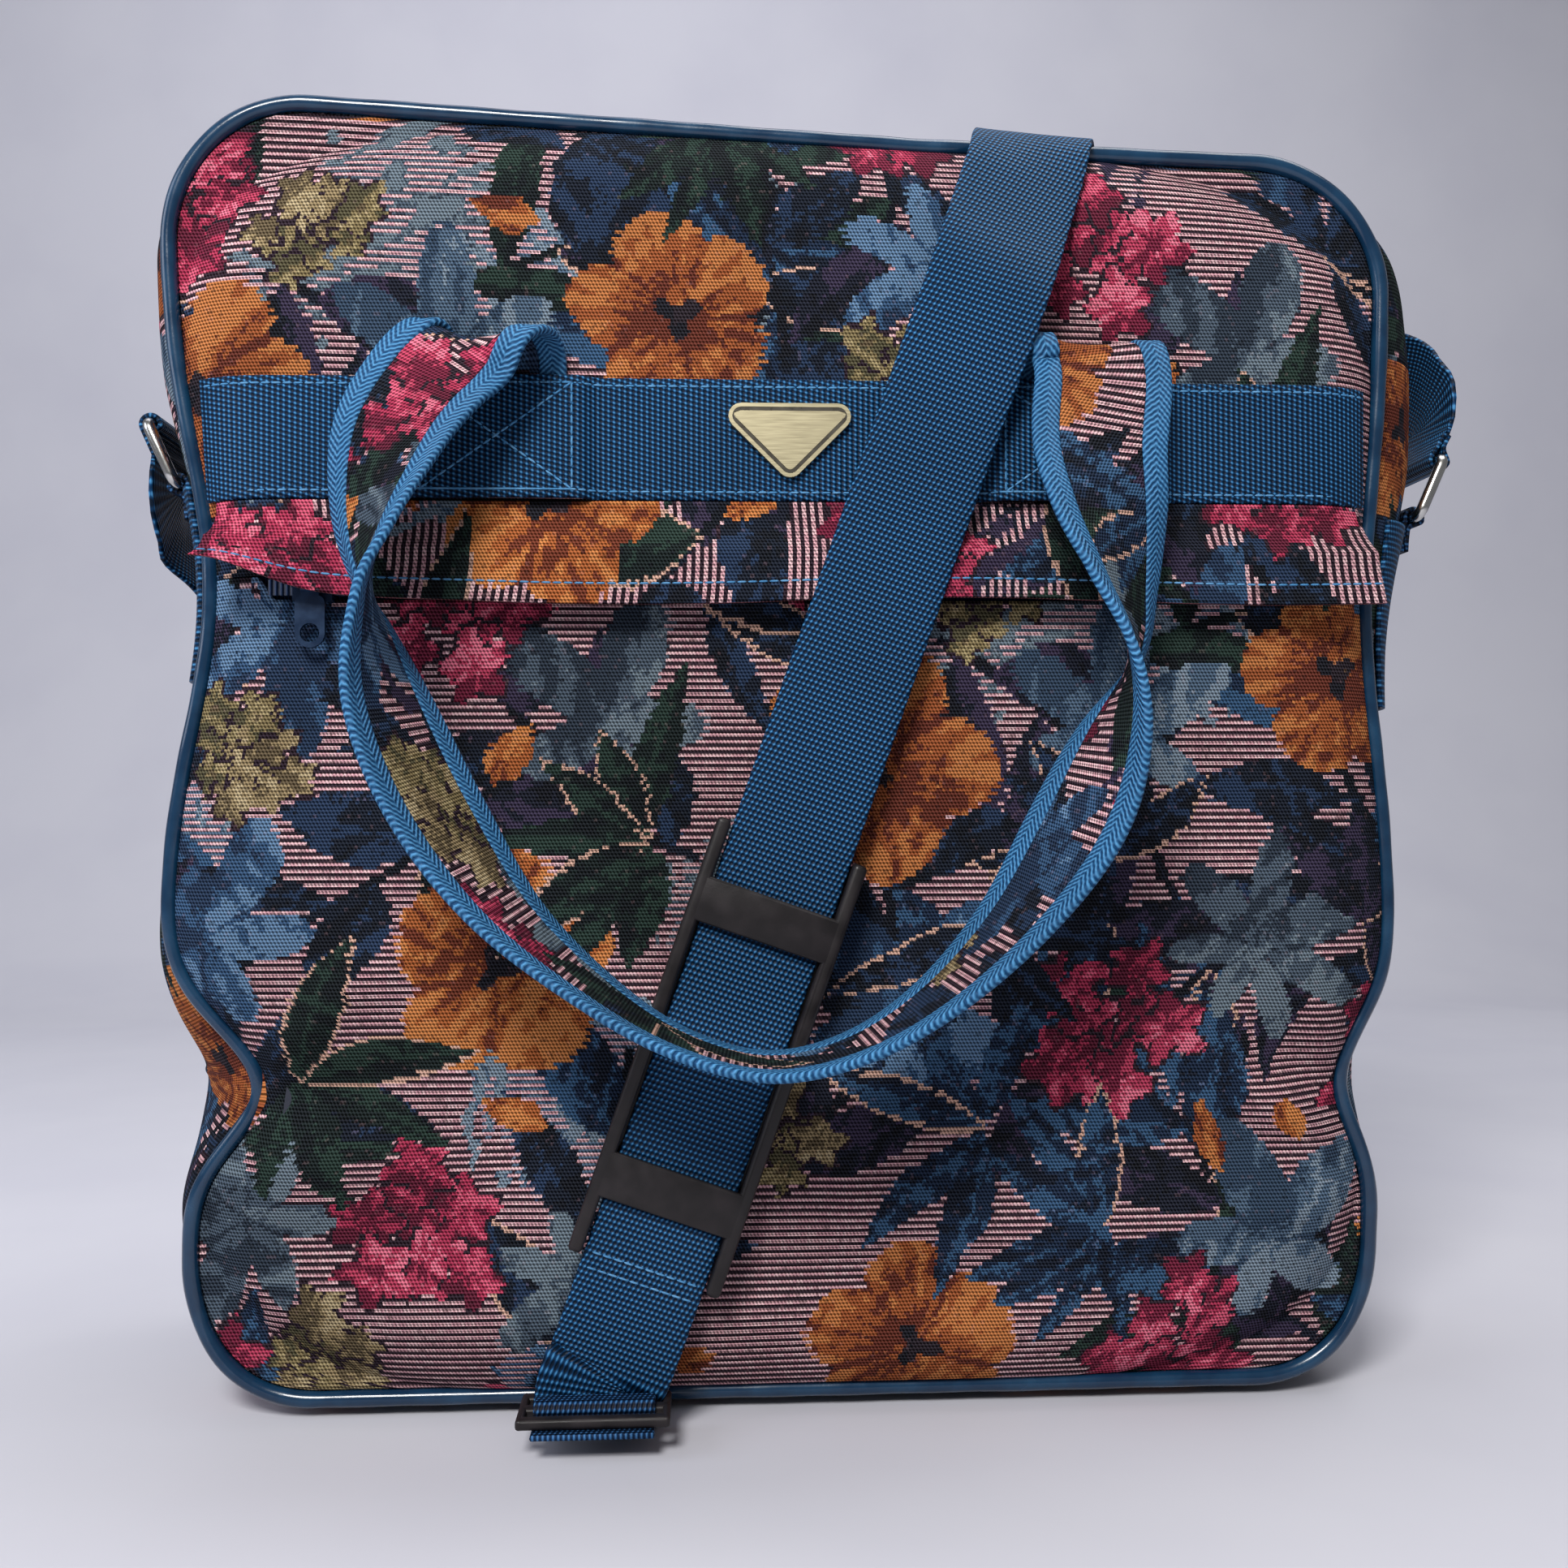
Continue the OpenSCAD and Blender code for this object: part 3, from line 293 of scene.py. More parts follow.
def swept(points: Array, wides: Array, section: Array) -> MeshData:
    """Strip with a cross-section carried along a line.

    Args:
        points: The middle line.
        wides: Width direction at each point.
        section: Closed cross-section (across, through).

    Returns:
        A closed mesh with its ends capped.
    """
    ahead = unit(np.gradient(points, axis=0))
    wide = square_to(wides, ahead)
    out = np.cross(wide, ahead)
    body = points[:, None] + section[None, :, :1] * wide[:, None] + section[None, :, 1:] * out[:, None]
    n, k = body.shape[:2]
    face = tube_faces(n, k, False)
    flat = body.reshape(-1, 3)
    a, b, c, d = (flat[face[:, corner]] for corner in range(4))
    volume = (np.cross(a, b) * c).sum() + (np.cross(a, c) * d).sum()
    ends = [list(range(k))[::-1], list(range((n - 1) * k, n * k))]
    faces = face.tolist() + ends
    if volume < 0:
        faces = [f[::-1] for f in faces]
    run = along_line(points)
    coords = np.stack(np.broadcast_arrays(section[None, :, 0], run[:, None]), -1)
    return MeshData(flat, faces, coords.reshape(-1, 2))


def cord_ring(points: Array, out: Array, radius: Array, sides: int) -> MeshData:
    """Closed round cord.

    Args:
        points: Its closed middle line.
        out: Outward direction at each point.
        radius: Radius at each point.
        sides: Sides of the cord.

    Returns:
        The mesh of the cord.
    """
    ahead = ring_ahead(points)
    side = square_to(out, ahead)
    up = np.cross(ahead, side)
    turn = np.arange(sides) * 2 * np.pi / sides
    body = points[:, None] + radius[:, None, None] * (np.cos(turn)[None, :, None] * side[:, None]
                                                      + np.sin(turn)[None, :, None] * up[:, None])
    run = along_line(points)
    coords = np.stack(np.broadcast_arrays((turn * radius.mean())[None], run[:, None]), -1)
    faces = tube_faces(len(points), sides, True).tolist()
    return MeshData(body.reshape(-1, 3), faces, coords.reshape(-1, 2))


@dataclass
class BagForm:
    """Form of the bag's shell in millimetres, from the same sizes as the solids."""

    width: float = 390.0
    height: float = 398.0
    depth: float = 110.0
    seam_z: float = 5.0
    top_tilt: float = math.radians(1.6)
    corner_r: float = 43.0
    front_bulge: float = 13.0
    back_bulge: float = 10.0
    side_bulge: float = 28.0
    top_sag: float = 3.0
    pipe_r: float = 2.5
    gap: float = 0.3
    # Waist and pinch of the side seams: depth on the left and right, then place and spread as shares of the height
    waist: tuple = (14.0, 7.0)
    waist_at: tuple = (0.628, 0.15)
    pinch: tuple = (28.0, 16.0)
    pinch_at: tuple = (0.244, 0.066)
    foot_in: float = 0.02
    foot_at: tuple = (0.09, 0.1)
    rear_keep: float = 0.3
    # Raised top left of the front: height, where it starts and how far it takes to grow, share of the height
    front_lift: float = 5.0
    lift_from: float = 40.0
    lift_run: float = 190.0
    lift_v: float = 0.8
    base_drop: float = 2.5
    pillow_power: int = 6
    pillow_gain: float = 1.5
    wavy_below: float = 240.0
    wavy_run: float = 120.0
    corner_steps: int = 40
    side_steps: int = 200
    edge_steps: int = 60
    # Webbing, handles, flap and strap, as several pieces use them
    web_w: float = 38.0
    web_t: float = 1.6
    band_z: float = 303.0
    flap_z: float = 252.0
    handle_x: float = 90.0
    handle_w: float = 43.0
    strap_x: float = 26.0
    strap_y: float = -78.4
    lean: float = math.radians(19.5)
    lane_x: float = -60.0
    lane_half: float = 20.5
    lane_depth: float = 2.1
    crease_depth: float = 4.0
    # How far the gusset stands out at each share of the height, as a share of the side's bulge
    swell_left: tuple = ((0, 0.2), (0.1, 0.3), (0.17, 0.5), (0.244, 0.85), (0.32, 0.6), (0.39, 0.42), (0.53, 0.3),
                         (0.66, 0.36), (0.74, 0.42), (0.8, 0.52), (0.9, 0.48), (1, 0))
    swell_right: tuple = ((0, 0.2), (0.1, 0.26), (0.244, 0.5), (0.36, 0.28), (0.48, 0.32), (0.6, 0.6), (0.7, 0.9),
                          (0.76, 1), (0.84, 0.94), (0.93, 0.7), (1, 0))
    # Creases that the solids have too: start and end as shares of half the width and of the height, spread, depth
    main_creases: tuple = ((0.92, 0.23, 0.62, 0.38, 0.035, 1.0), (-0.86, 0.24, -0.56, 0.27, 0.035, 0.9),
                           (-0.8, 0.13, -0.45, 0.16, 0.03, 0.5), (0.25, 0.1, 0.8, 0.13, 0.03, 0.5),
                           (0.2, 0.24, 0.6, 0.21, 0.03, 0.45))
    # Finer folds of the cloth itself: start, end, spread and depth, all in millimetres, a ridge where negative
    folds: tuple = ((174, 96, 92, 166, 6, 2.0), (180, 106, 116, 190, 8, -4.2), (170, 82, 88, 146, 8, -3.4),
                    (178, 76, 112, 90, 6, 1.8), (170, 62, 96, 56, 7, -2.6), (-160, 98, -100, 114, 6, 2.0),
                    (-160, 84, -100, 78, 8, -3.4), (-158, 114, -118, 148, 8, -3.4), (-164, 60, -96, 46, 7, 1.8),
                    (-40, 44, 96, 34, 10, 1.3),
                    (20, 66, 120, 52, 9, -1.4), (-120, 30, -20, 24, 9, -1.0), (-150, 214, -60, 222, 12, 1.0),
                    (60, 214, 150, 206, 12, 0.9), (-70, 150, 10, 128, 12, 1.2), (40, 136, 110, 118, 11, -1.2),
                    (-178, 372, -120, 378, 8, 0.9), (120, 356, 176, 344, 10, 1.2), (-60, 372, 60, 366, 10, 0.8))

    @property
    def half_d(self) -> float:
        """Half the depth between the seams."""
        return self.depth / 2

    @property
    def rim(self) -> float:
        """Distance of a panel's edge from the seam line."""
        return self.pipe_r + self.gap

    @property
    def front_y(self) -> float:
        """Foremost plane of the front panel."""
        return -self.half_d - self.front_bulge

    @property
    def back_y(self) -> float:
        """Rearmost plane of the back panel."""
        return self.half_d + self.back_bulge

    def level(self, x: Array) -> Array:
        """Height of the shell above the lower seam at x."""
        return self.height - x * math.tan(self.top_tilt)

    def z_of(self, x: Array, v: Array) -> Array:
        """Height of a share v of the shell at x."""
        return self.seam_z + v * self.level(x)

    def raised(self, x: Array, v: Array) -> Array:
        """How far the top left of the front stands up above the even slope."""
        grown = np.clip((self.lift_from - x) / self.lift_run, 0, 1)
        return self.front_lift * grown * np.clip((v - self.lift_v) / (1 - self.lift_v), 0, 1) ** 1.5

    def v_of(self, x: Array, z: Array) -> Array:
        """Share of the shell's height at a point."""
        return (z - self.seam_z) / self.level(x)

    def drawn_in(self, v: Array, side: Side, keep: float) -> Array:
        """How far a side seam is drawn in at the share v of the height.

        Args:
            v: Share of the height.
            side: Which seam.
            keep: Share of the pinch that is kept.

        Returns:
            The shift, in millimetres.
        """
        at = lambda place: bump(v - place[0], place[1])
        return (self.waist[side] * at(self.waist_at) + keep * self.pinch[side] * at(self.pinch_at)
                + self.foot_in * self.width * at(self.foot_at))

    def rounding(self, v: Array, inset: float) -> Array:
        """Inward shift of the outline in its round corners."""
        r = self.corner_r - inset
        d = np.maximum(0, r - (np.minimum(v, 1 - v) * self.height - inset))
        return r - np.sqrt(np.maximum(0, r * r - d * d))

    def side_x(self, v: Array, side: Side, inset: float = 0.0, keep: float = 1.0) -> Array:
        """Place of a side seam, or of a line inside it.

        Args:
            v: Share of the height.
            side: Which seam.
            inset: Distance inside the seam.
            keep: Share of the pinch that is kept.

        Returns:
            The place along X.
        """
        v = np.asarray(v, float)
        slope = (self.drawn_in(v + 0.01, side, keep) - self.drawn_in(v - 0.01, side, keep)) / (0.02 * self.height)
        move = self.drawn_in(v, side, keep) + inset * np.sqrt(1 + slope ** 2) + self.rounding(v, inset)
        return -self.width / 2 + move if side is Side.LEFT else self.width / 2 - move

    def pillow(self, x: Array, z: Array, keep: float) -> Array:
        """Share of the bulge of a panel at a point: zero on its rim, one on its flat middle."""
        v = np.clip(self.v_of(x, z), 0, 1)
        lo, hi = (self.side_x(v, side, 0, keep) for side in Side)
        u = (2 * x - lo - hi) / np.maximum(1, hi - lo)
        q = np.clip(1 - np.abs(u) ** self.pillow_power - np.abs(2 * v - 1) ** self.pillow_power, 0, None)
        return 1 - (1 - np.minimum(1, self.pillow_gain * q)) ** 2

    @staticmethod
    def line_fold(x: Array, z: Array, line: tuple, spread: float) -> Array:
        """Bell-shaped groove along a line from (x0, z0) to (x1, z1), fading towards its end."""
        x0, z0, x1, z1 = line
        dx, dz = x1 - x0, z1 - z0
        t = np.clip(((x - x0) * dx + (z - z0) * dz) / (dx * dx + dz * dz), 0, 1)
        d = np.hypot(x - x0 - t * dx, z - z0 - t * dz)
        return bump(d, spread) * (1 - FOLD_FADE * t)

    def face_y(self, x: Array, z: Array) -> Array:
        """Outer face of the front as the solids have it."""
        p = self.pillow(x, z, 1.0)
        half, tall = self.width / 2, self.height
        dip = sum(deep * self.crease_depth
                  * self.line_fold(x, z, (x0 * half, z0 * tall, x1 * half, z1 * tall), wide * tall)
                  for x0, z0, x1, z1, wide, deep in self.main_creases)
        return -self.half_d - self.front_bulge * p + np.minimum(1, p) * dip

    def soft_y(self, x: Array, z: Array) -> Array:
        """Outer face of the front with its finer folds."""
        p = np.minimum(1, self.pillow(x, z, 1.0))
        fine = sum(f[5] * self.line_fold(x, z, f[:4], f[4]) for f in self.folds)
        wave = 0.5 * np.sin(x / 31 + z / 47) * np.sin(z / 23 - x / 71) + 0.35 * np.sin(x / 13 - z / 17 + 1.3)
        low = np.clip((self.wavy_below - z) / self.wavy_run, 0.25, 1)
        return self.face_y(x, z) + p * (fine + low * wave)

    def rear_y(self, x: Array, z: Array) -> Array:
        """Outer face of the back."""
        return self.half_d + self.back_bulge * self.pillow(x, z, self.rear_keep)

    def soft_rear_y(self, x: Array, z: Array) -> Array:
        """Outer face of the back with soft folds."""
        p = np.minimum(1, self.pillow(x, z, self.rear_keep))
        wave = np.sin(x / 37 + z / 41 + 0.7) * np.sin(z / 29 - x / 83) + 0.4 * np.sin(x / 17 - z / 19)
        low = np.clip((self.wavy_below - z) / self.wavy_run, 0.3, 1)
        return self.rear_y(x, z) - p * low * (0.4 + 0.8 * wave)

    def outline(self, keep: float) -> tuple[Array, Array]:
        """Seam line round the bag: up the left, along the top, down the right, back along the bottom.

        Args:
            keep: Share of the pinch that is kept.

        Returns:
            Points (x, z) and, for each, the leg from 0 to 3 and the share v of the height.
        """
        arc = (1 - np.cos(np.linspace(0, np.pi / 2, self.corner_steps))) * self.corner_r / self.height
        v = np.concatenate([arc, np.linspace(arc[-1], 1 - arc[-1], self.side_steps)[1:-1], 1 - arc[::-1]])
        left, right = (self.side_x(v, side, 0, keep) for side in Side)
        top = np.linspace(left[-1], right[-1], self.edge_steps)[1:-1]
        foot = np.linspace(right[0], left[0], self.edge_steps)[1:-1]
        x = np.concatenate([left, top, right[::-1], foot])
        share = np.concatenate([v, np.ones(len(top)), v[::-1], np.zeros(len(foot))])
        leg = np.repeat([0.0, 1.0, 2.0, 3.0], [len(v), len(top), len(v), len(foot)])
        z = self.z_of(x, share) + (self.raised(x, share) if keep == 1 else 0)
        return np.stack([x, z], 1), np.stack([leg, share], 1)

    def swell(self, leg: Array, v: Array) -> Array:
        """How far the gusset stands out beyond the seams."""
        left = self.side_bulge * np.interp(v, *np.array(self.swell_left).T)
        right = self.side_bulge * np.interp(v, *np.array(self.swell_right).T)
        out = np.where(leg < 0.5, left, np.where(leg < 1.5, -self.top_sag, np.where(leg < 2.5, right, 0)))
        out = np.where((v > 0.999) & (leg < 2.5), -self.top_sag, out)
        return np.where(leg > 2.5, self.seam_z + self.base_drop, out)

    def side_point(self, side: Side, z: Array, s: Array, off: float) -> Array:
        """Point on the side gusset.

        Args:
            side: Which side.
            z: Height.
            s: Share of the half depth, from -1 at the front to 1.
            off: Distance outside the cloth.

        Returns:
            The points.
        """
        v = self.v_of(self.width / 2 if side else -self.width / 2, z)
        near, far = self.side_x(v, side), self.side_x(v, side, 0, self.rear_keep)
        table = np.array(self.swell_right if side else self.swell_left).T
        m = self.side_bulge * np.interp(v, *table) * np.sqrt(np.maximum(0, 1 - s * s)) + off
        x = mix(near, far, (s + 1) / 2) + (m if side else -m)
        return spread_out(x, s * (self.half_d - self.rim), z)

    def strap_at(self, z: float) -> float:
        """Place of the strap across the front at a height."""
        return self.strap_x + (z - self.flap_z) * math.tan(self.lean)


class Motif(Enum):
    """Kinds of motif in the woven print."""

    HAZE = "haze"
    SPRAY = "spray"
    LOBED = "lobed leaf"
    BLOOM = "large bloom"
    POSY = "cluster of small blooms"
    TUFT = "cluster of round petals"
    FAN = "fan of narrow leaves"
    BUD = "bud"


def tone(code: str) -> Array:
    """Linear red, green and blue of an sRGB hex colour."""
    return np.array(linear(code)[:3])


@dataclass
class Cells:
    """Woven cells near one motif, with their places along and across it; coloured in place."""

    out: Array
    near: Array
    x: Array
    y: Array
    row: Array
    fleck: Array
    comb: Array
    streak: Array
    rim: str = "#D3A894"
    streak_part: float = 0.8
    fleck_part: float = 0.16
    light_from: float = 0.62
    dark_below: float = 0.3
    rim_w: float = 1.0

    def fill(self, inside: Array, depth: Array | float, shades: tuple) -> None:
        """Colours the cells of one shape with three shades.

        Args:
            inside: Which of the cells are in the shape.
            depth: Value from 0 to 1 on the light side.
            shades: Middle, light and dark colour.
        """
        mid, light, deep = (tone(c)[None] for c in shades)
        level = depth + self.streak_part * (self.streak - 0.5) + self.fleck_part * (self.fleck - 0.5)
        low = np.where((level < self.dark_below)[:, None], deep, mid)
        shade = np.where((level > self.light_from)[:, None], light, low)
        self.out[self.near[inside]] = shade[inside]

    @staticmethod
    def leaf(x: Array, y: Array, length: float, width: float, bend: float) -> tuple[Array, Array]:
        """Pointed leaf from the origin along +x.

        Args:
            x: Place along the leaf.
            y: Place across it.
            length: Length of the leaf.
            width: Half its width.
            bend: Sideways bend at its tip.

        Returns:
            Which cells are inside, and a value for the light side.
        """
        t = x / length
        y = y - bend * t * t
        edge = width * np.sin(np.pi * np.clip(t, 0, 1)) ** 0.85 * (1.15 - 0.45 * t)
        inside = (t > 0) & (t < 1) & (np.abs(y) < edge)
        vein = np.abs(np.sin((x - np.abs(y) * 1.1) / 3.4)) < 0.28
        light = np.where(y > 0, 0.58, 0.36) + np.where(np.abs(y) < 0.9, 0.3, 0) + np.where(vein, 0.12, 0)
        return inside, light

    def blade(self, root: tuple, turn: float, size: tuple, shades: tuple, rimmed: bool) -> None:
        """Weaves one leaf.

        Args:
            root: Where it grows from.
            turn: Direction of the leaf.
            size: Length, half width and bend.
            shades: Its three colours.
            rimmed: Whether a pale line runs round it.
        """
        c, s = math.cos(turn), math.sin(turn)
        x, y = self.x - root[0], self.y - root[1]
        along, across = c * x + s * y, c * y - s * x
        if rimmed:
            grown = (size[0] + 1.6 * self.rim_w, size[1] + self.rim_w, size[2])
            self.fill(*self.leaf(along + 0.8 * self.rim_w, across, *grown), (self.rim,) * 3)
        self.fill(*self.leaf(along, np.sign(across) * (np.abs(across) + 0.6 * self.comb), *size), shades)


@dataclass
class TapestryPrint:
    """Generic floral print, laid out here from a fixed seed and worked out cell by cell as a loom would."""

    tile: tuple = (412.0, 386.0)
    cell: float = 1.06
    seed: int = 17
    reach: float = 78.0
    tries: int = 40
    grain_n: int = 512
    jitter_n: int = 4096
    pinks: tuple = ("#DCABB0", "#CF9CA4", "#E6BCBF")
    dark: str = "#291620"
    # How many of each motif, and the room that the main ones keep clear
    counts: tuple = ((Motif.HAZE, 12, 0), (Motif.SPRAY, 26, 0), (Motif.LOBED, 13, 52), (Motif.BLOOM, 5, 92),
                     (Motif.POSY, 9, 70), (Motif.TUFT, 6, 72), (Motif.FAN, 11, 60), (Motif.BUD, 11, 0))
    # Middle, light and dark shade of each kind of leaf or bloom
    leaf_shades: tuple = (("#0F1725", "#213450", "#080C15"), ("#121E1A", "#24382E", "#0A1112"),
                          ("#172942", "#345678", "#0D1626"), ("#151826", "#372D45", "#0A0B13"))
    lobe_shades: tuple = (("#50667C", "#7B8C9B", "#34485E"), ("#345375", "#5F7FA0", "#20344F"),
                          ("#4A5866", "#6C7B86", "#2B3643"))
    bloom_shades: tuple = (("#AE5F2B", "#CF8144", "#75351B"), ("#9F5427", "#C1763E", "#682D19"))
    heart_shades: tuple = ("#2B2026", "#59402A", "#17151C")
    posy_shades: tuple = (("#BB3C5A", "#E8748C", "#761A36"), ("#AE3050", "#DB5A76", "#661830"))
    posy_edge: str = "#2C1A24"
    tuft_shades: tuple = (("#998560", "#B7A47E", "#65563C"), ("#85754F", "#A7966C", "#565036"))
    plan: list = field(default_factory=list)

    def __post_init__(self) -> None:
        """Lays out the motifs of one repeat."""
        rng = np.random.default_rng(self.seed)
        self.grain = rng.random((self.grain_n, self.grain_n))
        self.jitter = rng.normal(0, 1, self.jitter_n)
        taken: list = []
        for kind, count, room in self.counts:
            for _ in range(count):
                best = max((rng.random(2) * self.tile for _ in range(self.tries)),
                           key=lambda p: min([self.apart(p, q) / r for q, r in taken] or [9.0]))
                if room:
                    taken.append((best, room))
                self.plan.append((kind, best, float(rng.random() * 2 * np.pi), int(rng.integers(1 << 30))))

    def apart(self, p: Array, q: Array) -> float:
        """Distance of two places on the endless cloth."""
        d = np.abs(np.asarray(p) - np.asarray(q))
        return float(np.hypot(*np.minimum(d, np.array(self.tile) - d)))

    def noise(self, u: Array, v: Array, size: float, layer: int) -> Array:
        """Smooth random field with features of a size in millimetres."""
        a, b = u / size + 37.3 * layer, v / size + 91.7 * layer
        i, j = np.floor(a).astype(int), np.floor(b).astype(int)
        s, t = ease(a - i), ease(b - j)
        g = lambda x, y: self.grain[x % self.grain_n, y % self.grain_n]
        return mix(mix(g(i, j), g(i + 1, j), s), mix(g(i, j + 1), g(i + 1, j + 1), s), t)

    def weave(self, uv: Array, row: Array, turned: bool = False) -> Array:
        """Colours of the cells of a sheet, from the coordinates of its points.

        Args:
            uv: Coordinates, rows by columns.
            row: Number of each cell's weft row.
            turned: Whether the piece was cut across the print.

        Returns:
            Linear colours, one per cell.
        """
        mid = (uv[:-1, :-1] + uv[1:, 1:]) / 2
        return self.paint(mid[..., 1], mid[..., 0], row) if turned else self.paint(mid[..., 0], mid[..., 1], row)

    def paint(self, u: Array, v: Array, row: Array) -> Array:
        """Colours of woven cells.

        Args:
            u: Place across the cloth of each cell, in millimetres.
            v: Place along the cloth.
            row: Number of the cell's weft row.

        Returns:
            Linear colours, one per cell.
        """
        shape = u.shape
        u, v, row = u.ravel(), v.ravel(), np.broadcast_to(row, shape).ravel().astype(int)
        even = row % 2 == 0
        ragged = 0.45 * self.jitter[row % self.jitter_n] + 1.2 * (self.noise(u, v, 3.0, 1) - 0.5)
        comb = np.where(even, 3.4 * np.clip(self.noise(u, v, 11, 5) - 0.25, 0, 1), 0.0)
        wu = u + ragged + 5 * (self.noise(u, v, 26, 2) - 0.5)
        wv = v + 5 * (self.noise(u, v, 26, 3) - 0.5)
        column = np.round(u / self.cell).astype(int)
        fleck = self.grain[(column * 7 + row * 3) % self.grain_n, (row * 5 + column) % self.grain_n]
        pink = np.stack([tone(c) for c in self.pinks])[(fleck * 2.999).astype(int)]
        out = np.where(even[:, None], pink, tone(self.dark)[None])
        for kind, place, turn, seed in self.plan:
            du, dv = ((w - p + size / 2) % size - size / 2 for w, p, size in zip((wu, wv), place, self.tile))
            near = np.flatnonzero(np.hypot(du, dv) < self.reach)
            if len(near) == 0:
                continue
            c, s = math.cos(turn), math.sin(turn)
            x, y = c * du[near] + s * dv[near], c * dv[near] - s * du[near]
            rng = np.random.default_rng(seed)
            streak = self.noise(x * 0.35, y, 3.2, int(rng.integers(60)))
            self.draw(kind, rng, Cells(out, near, x, y, row[near], fleck[near], comb[near], streak))
        out = np.where((fleck > 0.975)[:, None], mix(out, tone(self.pinks[0])[None], 0.06), out)
        out = np.where((fleck < 0.04)[:, None], out * 0.6, out)
        return out.reshape(*shape, 3)

    def draw(self, kind: Motif, rng: np.random.Generator, cells: Cells) -> None:
        """Weaves one motif.

        Args:
            kind: What it is.
            rng: Its own random source.
            cells: The cells near it.
        """
        if kind is Motif.HAZE:
            self.haze(rng, cells)
        elif kind is Motif.SPRAY:
            self.spray(rng, cells)
        elif kind in (Motif.LOBED, Motif.BLOOM):
            self.rosette(rng, cells, kind is Motif.BLOOM)
        elif kind in (Motif.POSY, Motif.TUFT):
            self.cluster(rng, cells, kind is Motif.TUFT)
        elif kind is Motif.FAN:
            self.fan(rng, cells)
        else:
            size = (rng.uniform(17, 25), rng.uniform(4.5, 7), rng.uniform(-3, 3))
            cells.blade((-9, 0), 0.0, size, self.pick(rng, self.bloom_shades), False)

    @staticmethod
    def pick(rng: np.random.Generator, table: tuple) -> tuple:
        """One row of a table, drawn at random."""
        return table[int(rng.integers(len(table)))]

    def haze(self, rng: np.random.Generator, cells: Cells) -> None:
        """Weaves a soft patch of one colour between the stripes."""
        size = rng.uniform(17, 34)
        inside = ((np.hypot(cells.x, cells.y) < size * (0.7 + 0.5 * cells.streak))
                  & ((cells.row % 2 == 1) | (cells.streak > 0.62)))
        cells.fill(inside, 0.5, self.pick(rng, self.lobe_shades + self.leaf_shades[2:]))

    def spray(self, rng: np.random.Generator, cells: Cells) -> None:
        """Weaves a bent stem with leaves to both sides."""
        shades, curve = self.pick(rng, self.leaf_shades), rng.uniform(-14, 14)
        share = lambda x: (x + 55) / 110
        stem = lambda x: curve * (share(x) - 0.5) ** 2 * 4
        t = share(cells.x)
        cells.fill((t > 0) & (t < 1) & (np.abs(cells.y - stem(cells.x)) < 1.7), 0.2, shades)
        for k in range(int(rng.integers(5, 8))):
            at = -48 + 15 * k + rng.uniform(-4, 4)
            turn = (0.5 + rng.uniform(0, 0.55)) * (1 if k % 2 else -1)
            size = (rng.uniform(36, 62), rng.uniform(7.5, 13), rng.uniform(-8, 8))
            own = shades if rng.random() < 0.7 else self.pick(rng, self.leaf_shades)
            cells.blade((at, stem(at)), turn, size, own, rng.random() < 0.12)

    def rosette(self, rng: np.random.Generator, cells: Cells, bloom: bool) -> None:
        """Weaves a lobed leaf, or a large bloom with a dark heart."""
        r, a = np.hypot(cells.x, cells.y), np.arctan2(cells.y, cells.x)
        shades = self.pick(rng, self.bloom_shades if bloom else self.lobe_shades)
        lobes = int(rng.integers(5, 7 if bloom else 8))
        size = rng.uniform(30, 39) if bloom else rng.uniform(27, 40)
        wave = np.abs(np.cos(a * lobes / 2))
        if not bloom:
            inside = r < size * (0.42 + 0.58 * wave ** 1.6) * (1 - 0.25 * np.cos(a)) - cells.comb
            light = 0.5 + 0.3 * np.cos(a - 0.8) - np.where(np.abs(np.sin(a * lobes / 2)) > 0.97, 0.35, 0)
            cells.fill(inside, light, shades)
            return
        light = 0.2 + 0.55 * (r / size) + 0.22 * np.sin(a * 23) * (r / size) + 0.15 * np.cos(a - 1)
        light = np.where(wave < 0.16, light - 0.4, light)
        cells.fill(r < size * (0.72 + 0.28 * wave ** 0.6) - cells.comb, light, shades)
        cells.fill(r < 5.5 + 2.5 * np.cos(3 * a), 0.25, self.heart_shades)

    def cluster(self, rng: np.random.Generator, cells: Cells, small: bool) -> None:
        """Weaves a cluster of small blooms, or of smaller round petals."""
        table = self.tuft_shades if small else self.posy_shades
        count, spacing, sizes = (11, 4.6, (6.5, 9.5)) if small else (8, 7.2, (9, 14))
        for k in range(count):
            way, far = k * 2.4 + rng.uniform(-0.3, 0.3), spacing * math.sqrt(k + 0.4)
            dx, dy = cells.x - far * 1.25 * math.cos(way), cells.y - far * math.sin(way)
            r, a = np.hypot(dx, dy), np.arctan2(dy, dx)
            size = rng.uniform(*sizes)
            edge = size * (0.8 + 0.2 * np.cos(5 * a + k)) - 0.5 * cells.comb
            cells.fill((r < edge + 1.3) & (r >= edge), 0.1, table[0][:2] + (self.posy_edge,))
            light = 0.35 + 0.35 * np.cos(a - 1.1) * r / size + 0.15 * np.sin(a * 9)
            cells.fill(r < edge, light, self.pick(rng, table))
            cells.fill(r < size * 0.17, 0.1, table[0])

    def fan(self, rng: np.random.Generator, cells: Cells) -> None:
        """Weaves narrow leaves that spread from one point."""
        shades, count = self.pick(rng, self.leaf_shades), int(rng.integers(5, 8))
        for k in range(count):
            turn = (k / (count - 1) - 0.5) * 3.4 + rng.uniform(-0.15, 0.15)
            size = (rng.uniform(36, 58), rng.uniform(5.5, 8.5), rng.uniform(-9, 9))
            cells.blade((0, 0), turn, size, shades, rng.random() < 0.3)


